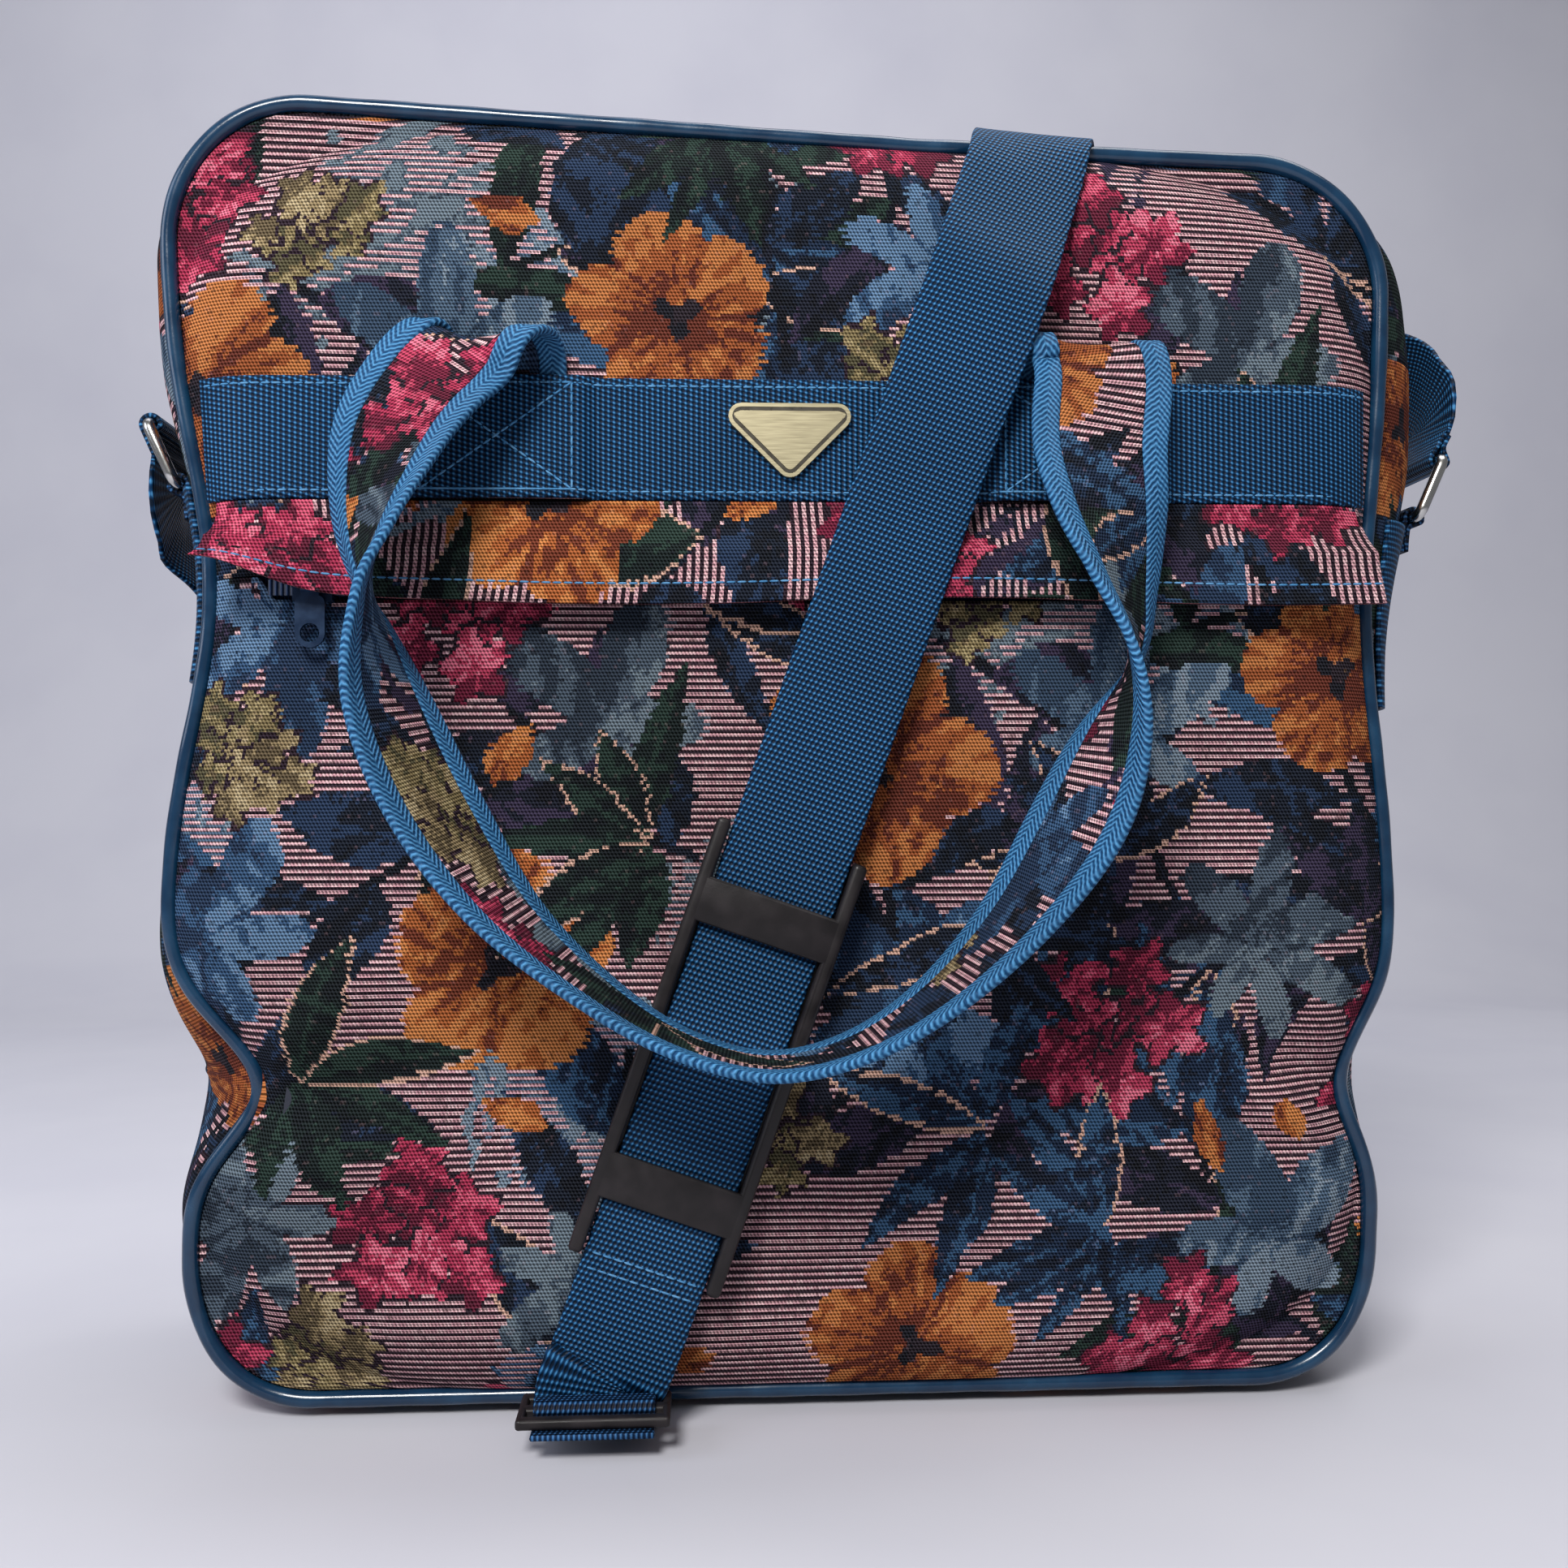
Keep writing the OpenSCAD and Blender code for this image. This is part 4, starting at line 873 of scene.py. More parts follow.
def put(tree: Tree, kind: str, settings: dict | None = None,
        inputs: dict | None = None) -> Node:
    """Adds a node with its settings and links.

    Args:
        tree: The material's node tree.
        kind: Node type after "ShaderNode".
        settings: Properties of the node.
        inputs: Values or output sockets by the name or number of the input.

    Returns:
        The node.
    """
    made = tree.nodes.new("ShaderNode" + kind)
    for key, value in (settings or {}).items():
        setattr(made, key, value)
    for key, value in (inputs or {}).items():
        if isinstance(value, Socket):
            tree.links.new(value, made.inputs[key])
        else:
            made.inputs[key].default_value = value
    return made


@dataclass(frozen=True)
class Finish:
    """A finish with the constants of its shader; its own class adds the pattern."""

    name: str = "finish"
    base: str = "#808080"
    roughness: float = 0.5
    metallic: float = 0.0
    coat: float = 0.0
    ior: float = 1.5

    def make(self) -> Material:
        """Builds the material."""
        made = bpy.data.materials.new(self.name)
        made.use_nodes = True
        tree = made.node_tree
        shader = tree.nodes["Principled BSDF"]
        for name, value in (("Base Color", linear(self.base)), ("Roughness", self.roughness),
                            ("Metallic", self.metallic), ("Coat Weight", self.coat)):
            shader.inputs[name].default_value = value
        if self.metallic == 0:
            shader.inputs["IOR"].default_value = self.ior
        self.pattern(tree, shader)
        made.diffuse_color = linear(self.base)
        return made

    def pattern(self, tree: Tree, shader: Node) -> None:
        """Adds what varies over the surface; plain finishes add nothing."""

    @staticmethod
    def lattice(tree: Tree, pitch_u: float, pitch_v: float, skew: float) -> Socket:
        """Height of woven floats from the piece's own surface coordinates.

        Args:
            tree: The material's node tree.
            pitch_u: Spacing of the floats in a row, in millimetres.
            pitch_v: Spacing of the rows, in millimetres.
            skew: Sideways step of each row as a share of the spacing.

        Returns:
            Value from -1 in the gaps to 1 on the floats.
        """
        at = put(tree, "UVMap", {"uv_map": "cloth"})
        turned = 2 * math.pi / MM
        waves = []
        for weights in ((turned / pitch_u, turned * skew / pitch_v, 0), (0, turned / pitch_v, 0)):
            phase = put(tree, "VectorMath", {"operation": "DOT_PRODUCT"}, {0: at.outputs["UV"], 1: weights})
            waves.append(put(tree, "Math", {"operation": "SINE"}, {0: phase.outputs["Value"]}).outputs[0])
        both = put(tree, "Math", {"operation": "ADD"}, {0: waves[0], 1: waves[1]}).outputs[0]
        return put(tree, "Math", {"operation": "MULTIPLY"}, {0: both, 1: 0.5}).outputs[0]

    @staticmethod
    def field_noise(tree: Tree, size: float, detail: float = 2.0, squeeze: tuple = (1, 1, 1)
                    ) -> Socket:
        """Random field on Object coordinates with features of a size in millimetres, stretched where squeezed."""
        at = put(tree, "TexCoord")
        place = put(tree, "Mapping", inputs={"Vector": at.outputs["Object"], "Scale": squeeze})
        return put(tree, "TexNoise", {"noise_dimensions": "3D"},
                   {"Vector": place.outputs[0], "Scale": 1 / (size * MM), "Detail": detail}).outputs["Fac"]

    @staticmethod
    def relief(tree: Tree, shader: Node, height: Socket, deep: float,
               strength: float = 1.0) -> None:
        """Raises the surface by a height field, deep in millimetres."""
        rise = put(tree, "Bump", inputs={"Height": height, "Distance": deep * MM, "Strength": strength})
        tree.links.new(rise.outputs[0], shader.inputs["Normal"])

    @staticmethod
    def ramp(tree: Tree, value: Socket, span: tuple, low: object, high: object
             ) -> Socket:
        """Colour that goes from low to high while a value crosses a span.

        Args:
            tree: The material's node tree.
            value: The value.
            span: Where it starts and ends.
            low: Colour or socket at the start.
            high: Colour or socket at the end.

        Returns:
            The colour.
        """
        share = put(tree, "MapRange", {"clamp": True}, {"Value": value, "From Min": span[0], "From Max": span[1]})
        return put(tree, "Mix", {"data_type": "RGBA"}, {0: share.outputs[0], 6: low, 7: high}).outputs[2]

    def uneven(self, tree: Tree, shader: Node, colour: Socket, size: float,
               swing: float) -> None:
        """Gives the shader a colour with slow lighter and darker areas.

        Args:
            tree: The material's node tree.
            shader: Its shader.
            colour: The colour.
            size: Size of the areas, in millimetres.
            swing: How much lighter or darker they are.
        """
        low, high = ((1 + sign * swing,) * 3 + (1,) for sign in (-1, 1))
        areas = self.ramp(tree, self.field_noise(tree, size), (0.3, 0.7), low, high)
        shade = put(tree, "Mix", {"data_type": "RGBA", "blend_type": "MULTIPLY"}, {0: 1.0, 6: colour, 7: areas})
        tree.links.new(shade.outputs[2], shader.inputs["Base Color"])


@dataclass(frozen=True)
class JacquardTapestry(Finish):
    """Jacquard-woven cotton mix: matt, with slanting floats that catch the light as fine pale flecks."""

    pitch: float = 1.1
    # Pale colour of the painted highlight on the floats
    fleck: str = "#B9C0D0"

    def pattern(self, tree: Tree, shader: Node) -> None:
        """Print colours, with painted shade that darkens them in the gaps between the floats, a faint painted
        highlight of pale flecks on the floats, and a little fading. The floats are drawn slightly coarse to show.
        """
        ink = put(tree, "Attribute", {"attribute_name": "print"}).outputs["Color"]
        floats = self.lattice(tree, self.pitch, self.pitch, 0.5)
        # Painted shade: the gaps between the floats go most of the way to black
        deep = put(tree, "Mix", {"data_type": "RGBA"}, {0: 0.82, 6: ink, 7: (0, 0, 0, 1)}).outputs[2]
        # Painted highlight: a little of the pale fleck colour mixed onto the floats
        lit = put(tree, "Mix", {"data_type": "RGBA"}, {0: 0.03, 6: ink, 7: linear(self.fleck)}).outputs[2]
        self.uneven(tree, shader, self.ramp(tree, floats, (-0.45, 0.4), deep, lit), 45, 0.14)
        self.relief(tree, shader, floats, 0.2, 0.8)


@dataclass(frozen=True)
class WovenWebbing(Finish):
    """Polypropylene webbing: rows of short shiny floats on a dark body."""

    # light is the painted highlight on the shiny floats; gap is the painted shade between them
    light: str = "#417FAE"
    gap: str = "#051526"
    float_pitch: float = 1.5
    row_pitch: float = 1.7

    def pattern(self, tree: Tree, shader: Node) -> None:
        """Painted highlights on the floats over the darker body, painted shade in the gaps, and slow variation along
        the length.
        """
        weave = self.lattice(tree, self.float_pitch, self.row_pitch, 0.3)
        # Painted shade in the gaps, then painted highlights on the floats
        body = self.ramp(tree, weave, (-0.35, 0.35), linear(self.gap), linear(self.base))
        self.uneven(tree, shader, self.ramp(tree, weave, (0.4, 0.9), body, linear(self.light)), 60, 0.14)
        self.relief(tree, shader, weave, 0.3, 0.8)


@dataclass(frozen=True)
class HerringboneTape(Finish):
    """Folded polyester twill tape: ribs that slant both ways from its middle, with a soft shine."""

    light: str = "#4C88B6"
    rib: float = 2.0

    def pattern(self, tree: Tree, shader: Node) -> None:
        """Slanting ribs from the tape's own coordinates, drawn slightly coarse to show."""
        at = put(tree, "UVMap", {"uv_map": "cloth"})
        split = put(tree, "SeparateXYZ", inputs={0: at.outputs["UV"]})
        side = put(tree, "Math", {"operation": "ABSOLUTE"}, {0: split.outputs[0]})
        slant = put(tree, "Math", {"operation": "ADD"}, {0: side.outputs[0], 1: split.outputs[1]})
        turn = put(tree, "Math", {"operation": "MULTIPLY"}, {0: slant.outputs[0], 1: 2 * math.pi / (self.rib * MM)})
        ribs = put(tree, "Math", {"operation": "SINE"}, {0: turn.outputs[0]}).outputs[0]
        dash = self.lattice(tree, 1.4, 1.5, 0.5)
        both = put(tree, "Math", {"operation": "MULTIPLY_ADD"}, {0: dash, 1: 0.5, 2: ribs}).outputs[0]
        self.uneven(tree, shader, self.ramp(tree, both, (-0.8, 1.1), linear(self.base), linear(self.light)), 35, 0.12)
        self.relief(tree, shader, both, 0.3, 0.7)


@dataclass(frozen=True)
class GrainedSurface(Finish):
    """Moulded, painted or coated surface: fine grain that breaks up its gloss, and worn lighter patches."""

    worn: str = "#808080"
    grain: float = 0.6
    patch: float = 18.0
    deep: float = 0.03
    gloss_swing: float = 0.08

    def pattern(self, tree: Tree, shader: Node) -> None:
        """Grain, worn patches and a gloss that varies with them."""
        slow = self.field_noise(tree, self.patch, 4.0)
        tree.links.new(self.ramp(tree, slow, (0.4, 0.9), linear(self.base), linear(self.worn)),
                       shader.inputs["Base Color"])
        rough = put(tree, "MapRange", inputs={"Value": slow, "From Min": 0.3, "From Max": 0.7,
                                              "To Min": self.roughness - self.gloss_swing,
                                              "To Max": self.roughness + self.gloss_swing})
        tree.links.new(rough.outputs[0], shader.inputs["Roughness"])
        self.relief(tree, shader, self.field_noise(tree, self.grain, 3.0), self.deep, 0.6)


@dataclass(frozen=True)
class BrushedPlate(Finish):
    """Brushed brass-toned plate: fine lines along X that stretch its reflections."""

    line: str = "#847C64"
    pitch: float = 0.5

    def pattern(self, tree: Tree, shader: Node) -> None:
        """Long fine lines, drawn coarser than real ones so that they show."""
        lines = self.field_noise(tree, self.pitch, 2.0, (0.05, 1, 1))
        tree.links.new(self.ramp(tree, lines, (0.35, 0.9), linear(self.base), linear(self.line)),
                       shader.inputs["Base Color"])
        self.relief(tree, shader, lines, 0.02, 0.5)


@dataclass(frozen=True)
class RibbedStrip(Finish):
    """Nylon zip: coil or tape with close ribs across its length, slightly shiny."""

    light: str = "#3A557F"
    rib: float = 1.6

    def pattern(self, tree: Tree, shader: Node) -> None:
        """Ribs across X on Object coordinates."""
        at = put(tree, "TexCoord")
        split = put(tree, "SeparateXYZ", inputs={0: at.outputs["Object"]})
        turn = put(tree, "Math", {"operation": "MULTIPLY"}, {0: split.outputs[0], 1: 2 * math.pi / (self.rib * MM)})
        ribs = put(tree, "Math", {"operation": "SINE"}, {0: turn.outputs[0]}).outputs[0]
        tree.links.new(self.ramp(tree, ribs, (-0.4, 0.9), linear(self.base), linear(self.light)),
                       shader.inputs["Base Color"])
        self.relief(tree, shader, ribs, 0.4, 0.8)


class Finishes:
    """All the finishes of the bag."""

    def __init__(self) -> None:
        """Builds each material once."""
        self.tapestry = JacquardTapestry("jacquard tapestry", "#6B5560", 0.8, ior=1.12).make()
        self.webbing = WovenWebbing("polypropylene webbing", "#0E3A62", 0.42, ior=1.2).make()
        # Darker copy of the webbing: painted shade for the side tabs and the strap tail under the slide
        self.shaded_webbing = WovenWebbing("navy webbing with painted shade", "#0E2A4C", 0.5, ior=1.24, light="#3A6A9A",
                                         gap="#040B18").make()
        self.binding = HerringboneTape("herringbone tape", "#0D3A62", 0.5, ior=1.24).make()
        self.vinyl = GrainedSurface("piping vinyl", "#0C2A44", 0.22, coat=0.25, ior=1.42, worn="#184361", grain=0.9,
                                    patch=14, deep=0.04).make()
        self.pad = GrainedSurface("moulded nylon", "#171415", 0.42, ior=1.36, worn="#2B2628", grain=0.5, patch=9,
                                  deep=0.05).make()
        self.badge = BrushedPlate("brushed brass plate", "#B3AA8C", 0.44, 1.0).make()
        self.enamel = GrainedSurface("dark enamel", "#3B372F", 0.3, worn="#4C473B", grain=0.4, patch=4,
                                     deep=0.01).make()
        self.ring = GrainedSurface("nickel-plated wire", "#C9C8C4", 0.22, 1.0, worn="#A5A29B", grain=0.8, patch=6,
                                   deep=0.01, gloss_swing=0.06).make()
        self.zip_metal = GrainedSurface("painted zinc", "#0B2039", 0.36, ior=1.36, worn="#173656", grain=0.5, patch=4,
                                        deep=0.02).make()
        self.zip_cloth = RibbedStrip("zip tape", "#0E1A30", 0.75, ior=1.2, light="#1A2B49", rib=1.2).make()
        self.zip_coil = RibbedStrip("nylon zip coil", "#0F1D36", 0.4, light="#2E4973", rib=1.7).make()
        self.thread = GrainedSurface("sewing thread", "#3F78A6", 0.6, ior=1.25, worn="#74A6CC", grain=0.5, patch=5,
                                     deep=0.05).make()
        self.lining = GrainedSurface("lining cloth", "#2A2D38", 0.85, worn="#343845", grain=0.8, patch=20,
                                     deep=0.05).make()
        self.board = GrainedSurface("grey board", "#5C5A57", 0.9, worn="#6B6864", grain=0.7, patch=12,
                                    deep=0.05).make()


@dataclass
class Piece:
    """Part of the bag that hands its objects to the frame: finish, body and the node each stands for."""

    form: BagForm
    finish: Finishes

    def settle(self, obj: Object, finish: Material, slot: str, *nodes: str,
               body: str = "bag_body") -> Object:
        """Dresses a piece and lets it ride on its body.

        Args:
            obj: The piece.
            finish: Its material.
            slot: Not used.
            nodes: CAD nodes that it stands for.
            body: Body that it moves with.

        Returns:
            The piece.
        """
        obj.data.materials.clear()
        obj.data.materials.append(finish)
        if nodes:
            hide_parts(*nodes)
        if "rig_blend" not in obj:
            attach(obj, body)
        LOG.info("%s: %d faces on %s", obj.name, len(obj.data.polygons), body)
        return obj


@dataclass
class ShellCloth(Piece):
    """Tapestry of the shell: front, pocket, back and the gusset strips."""

    print_cloth: TapestryPrint
    cell: float = 1.06
    rear_cell: float = 1.32
    zip_z: float = 257.0
    slit_half: float = 3.8
    zip_end: float = 158.0
    join_v: float = 0.843
    zip_lip: float = 5.0
    seam_share: float = 0.999
    gusset_pitch: float = 1.6
    gusset_columns: float = 37.2
    roll_at: tuple = (0.232, 0.05)
    roll_y: float = 9.5
    roll_x: float = 5.0
    floor_gap: float = 0.15
    front_share: float = 0.93
    back_share: float = 0.95

    def panel(self, name: str, low_v: float, high_v: float, cut: float, upper: bool, offset: tuple) -> None:
        """One half of the front.

        Args:
            name: CAD node that it stands for.
            low_v: Share of the height where it starts.
            high_v: Share where it ends.
            cut: Height of its straight edge at the pocket zip.
            upper: Whether that edge is its lower one.
            offset: Where on the print it was cut.
        """
        f = self.form
        n = int(round((high_v - low_v) * f.height / self.cell)) + 1
        m = int(round(f.width / self.cell)) + 1
        t = np.linspace(0, 1, n)[:, None]
        v = mix(low_v, high_v, t)
        x = mix(*(f.side_x(v, side, f.rim) for side in Side), np.linspace(0, 1, m)[None, :])
        edge_v = low_v if upper else high_v
        near = (1 - t) ** 3 if upper else t ** 3
        sewn = 0 if upper else (2 * self.slit_half - 0.5) * np.clip((np.abs(x) - self.zip_end) / 5, 0, 1)
        z = f.z_of(x, v) + (cut - f.z_of(x, edge_v)) * near + sewn * near ** 8 + f.raised(x, v)
        grid = np.stack([x, f.soft_y(x, z), z], -1)
        uv = np.stack([x + offset[0], z + offset[1]], -1)
        shade = self.print_cloth.weave(uv, np.arange(n - 1)[:, None])
        back = np.broadcast_to(-FRONT, grid.shape)
        obj = cloth_sheet(grid, uv, back, False, shade).build(name.replace("panel", "cloth"))
        self.settle(obj, self.finish.tapestry, "tapestry", name)

    def back(self) -> None:
        """The back panel."""
        f = self.form
        e_v = f.rim / f.height
        n, m = int(f.height / self.rear_cell) + 1, int(f.width / self.rear_cell) + 1
        v = mix(e_v, 1 - e_v, np.linspace(0, 1, n))[:, None]
        x = mix(*(f.side_x(v, side, f.rim, f.rear_keep) for side in Side), np.linspace(0, 1, m)[None])
        z = f.z_of(x, v)
        grid = np.stack([x, f.soft_rear_y(x, z), z], -1)
        uv = np.stack([-x + 190, z + 140], -1)
        shade = self.print_cloth.weave(uv, np.arange(n - 1)[:, None])
        obj = cloth_sheet(grid, uv, np.broadcast_to(FRONT, grid.shape), True, shade).build("back_cloth")
        self.settle(obj, self.finish.tapestry, "tapestry", "back_panel")

    def gusset_lines(self) -> tuple[Array, Array, Array, Array, Array]:
        """Seam lines of the gusset at an even pitch.

        Returns:
            Front points, rear points, outward directions, swell and [leg, share] for each.
        """
        f = self.form
        front, tags = f.outline(1.0)
        rear, _ = f.outline(f.rear_keep)
        line, extra = evenly(front, np.hstack([rear, tags]), self.gusset_pitch)
        rear, leg, share = extra[:, :2], extra[:, 2], extra[:, 3]
        ahead = ring_ahead(line) + ring_ahead(rear)
        out = unit(np.stack([-ahead[:, 1], ahead[:, 0]], 1))
        rise = f.swell(leg, share)
        for _ in range(6):
            rise = (np.roll(rise, 1) + rise + np.roll(rise, -1)) / 3
            out = unit(np.roll(out, 1, 0) + out + np.roll(out, -1, 0))
        return line, rear, out, rise, np.stack([leg, share], 1)

    def strip(self, name: str, pick: Array, low: float, high: float, lines: tuple, node: str) -> None:
        """One strip of the gusset.

        Args:
            name: Name of the piece.
            pick: Numbers of the seam points along it.
            low: Share of the half depth at its front edge.
            high: Share at its rear edge.
            lines: The gusset's seam lines.
            node: CAD node that it stands for.
        """
        f = self.form
        front, rear, out, rise, tags = (a[pick] for a in lines)
        m = int(self.gusset_columns * (high - low)) + 2
        s = np.sin(mix(math.asin(low), math.asin(high), np.linspace(0, 1, m)))[None, :]
        arch = np.sqrt(np.maximum(0, 1 - s * s))
        run = along_line(front)[:, None]
        puff = 0.9 * np.sin(run / 13) * np.sin(2.4 * s + run / 41) + 0.5 * np.sin(run / 7 + 3 * s)
        leg, v = tags[:, :1], tags[:, 1:]
        calm = (((leg < 0.5) | ((leg > 1.5) & (leg < 2.5))) & (v < 0.55) & (v > 0.03)) * 0.9 + 0.1
        stand = rise[:, None] * arch + puff * calm * arch
        flat = mix(front[:, None], rear[:, None], ((s + 1) / 2)[..., None]) + out[:, None] * stand[..., None]
        roll = np.where(leg < 0.5, bump(v - self.roll_at[0], self.roll_at[1]), 0) * bump(s + 0.82, 0.22)
        y = s * (f.half_d - f.rim) - self.roll_y * roll
        x, z = flat[..., 0] + self.roll_x * roll, flat[..., 1]
        lane = np.abs(x - f.lane_x) <= f.lane_half
        z = np.maximum(z, np.where(lane, f.lane_depth, self.floor_gap))
        grid = spread_out(x, y, z)
        uv = np.stack(np.broadcast_arrays(np.arcsin(s) * SEAM_R + 70, run + 33), -1)
        shade = self.print_cloth.weave(uv, np.arange(len(pick) - 1)[:, None])
        into = np.zeros_like(grid)
        into[..., 0], into[..., 2] = -out[:, None, 0], -out[:, None, 1]
        a, b, c = grid[5, m // 2], grid[5, m // 2 + 1], grid[6, m // 2]
        flip = np.dot(np.cross(b - a, c - a), into[5, m // 2]) > 0
        obj = cloth_sheet(grid, uv, into, bool(flip), shade).build(name)
        self.settle(obj, self.finish.tapestry, "tapestry", node)

    def build(self) -> None:
        """Makes all the cloth of the shell."""
        f = self.form
        e_v = f.rim / f.height
        top, foot = self.zip_z + self.slit_half, self.zip_z - self.slit_half
        self.panel("front_panel", (top - f.seam_z) / f.height, 1 - e_v, top, True, (60, 96))
        self.panel("pocket_panel", e_v, (foot - f.seam_z) / f.height, foot, False, (262, 210))
        self.back()
        lines = self.gusset_lines()
        leg, v = lines[4][:, 0], lines[4][:, 1]
        count = len(leg)
        first = int(np.argmax(v > self.join_v))
        last = int(count - np.argmax(((leg > 1.5) & (leg < 2.5) & (v > self.join_v))[::-1]) - 1)
        lower = np.arange(last, count + first + 1) % count
        upper = np.arange(first, last + 1)
        edge, lip = self.seam_share, self.zip_lip / f.half_d
        self.strip("gusset_cloth", lower, -edge, edge, lines, "lower_gusset")
        self.strip("top_front_cloth", upper, -edge, -lip, lines, "top_gusset_front")
        self.strip("top_rear_cloth", upper, lip, edge, lines, "top_gusset_rear")


@dataclass
class Piping(Piece):
    """Vinyl piping in the two seams."""

    sides: int = 14
    pitch: float = 2.2

    def build(self) -> None:
        """Makes both cords, with slight puckers along them."""
        f = self.form
        for name, keep, y in (("front_piping", 1.0, -f.half_d), ("back_piping", f.rear_keep, f.half_d)):
            line, _ = f.outline(keep)
            line, _ = evenly(np.vstack([line, line[:1]]), np.zeros((len(line) + 1, 1)), self.pitch)
            line = line[:-1]
            ahead = ring_ahead(line)
            points = np.stack([line[:, 0], np.full(len(line), y), line[:, 1]], 1)
            out = np.stack([-ahead[:, 1], np.zeros(len(line)), ahead[:, 0]], 1)
            run = along_line(points)
            radius = f.pipe_r + 0.05 + 0.07 * np.sin(run / 4.1) + 0.05 * np.sin(run / 11.3 + 1)
            obj = cord_ring(points, out, radius, self.sides).build(name.replace("piping", "welt"))
            self.settle(obj, self.finish.vinyl, "vinyl", name)


def shell_between(outer: Array, inner: Array, uv: Array, colours: Array | None = None) -> MeshData:
    """Closed layer of cloth between two grids, with the outer one facing -Y.

    Args:
        outer: Outer points, rows by columns.
        inner: Inner points.
        uv: Surface coordinates.
        colours: Colour of each cell.

    Returns:
        The mesh.
    """
    n, m = outer.shape[:2]
    face = quads(n, m)
    back = face[:, ::-1] + n * m
    rim = np.concatenate([np.arange(m), np.arange(1, n) * m + m - 1, (n - 1) * m + np.arange(m - 2, -1, -1),
                          np.arange(n - 2, 0, -1) * m])
    nxt = np.roll(rim, -1)
    edge = np.stack([rim, rim + n * m, nxt + n * m, nxt], 1)
    points = np.vstack([outer.reshape(-1, 3), inner.reshape(-1, 3)])
    coords = np.vstack([uv.reshape(-1, 2)] * 2)
    shade = None
    if colours is not None:
        flat = colours.reshape(-1, 3)
        shade = np.vstack([flat, flat, np.repeat(flat.mean(0)[None], len(edge), 0)])
    return MeshData(points, np.vstack([face, back, edge]).tolist(), coords, shade)


@dataclass
class StitchRuns(Piece):
    """Sewing stitches: one small tapered stitch repeated along lines on the cloth."""

    pitch: float = 3.3
    wide: float = 0.42
    high: float = 0.32

    def build(self, name: str, lines: list, slot: str = "webbing") -> None:
        """Sews lines of stitches as one piece.

        Args:
            name: Name of the piece.
            lines: For each line its points and the outward direction, in millimetres.
            slot: Name of a material slot, passed on to settle.
        """
        ring = np.array([(0, 1), (0.7, 0.5), (0.7, -0.3), (-0.7, -0.3), (-0.7, 0.5)])
        ends = ((-0.5, 0.25), (-0.3, 1.0), (0.3, 1.0), (0.5, 0.25))
        points, faces = [], []
        for line, out in lines:
            spots, _ = evenly(line, np.zeros((len(line), 1)), self.pitch)
            for a, b in zip(spots[:-1], spots[1:]):
                ahead, mid = b - a, (a + b) / 2
                run = unit(ahead)
                side = unit(np.cross(run, out))
                up = np.cross(side, run)
                base = len(points)
                for far, size in ends:
                    for across, rise in ring:
                        points.append(mid + ahead * far * 0.86 + side * across * self.wide * size
                                      + up * (rise * size * self.high))
                for k in range(3):
                    for j in range(5):
                        p, q = base + k * 5 + j, base + k * 5 + (j + 1) % 5
                        faces.append([p, q, q + 5, p + 5])
                faces += [[base + j for j in range(4, -1, -1)], [base + 15 + j for j in range(5)]]
        flat = np.array(points)
        obj = MeshData(flat, faces, flat[:, [0, 2]]).build(name)
        made = bmesh.new()
        made.from_mesh(obj.data)
        bmesh.ops.recalc_face_normals(made, faces=made.faces)
        made.to_mesh(obj.data)
        made.free()
        self.settle(obj, self.finish.thread, slot)


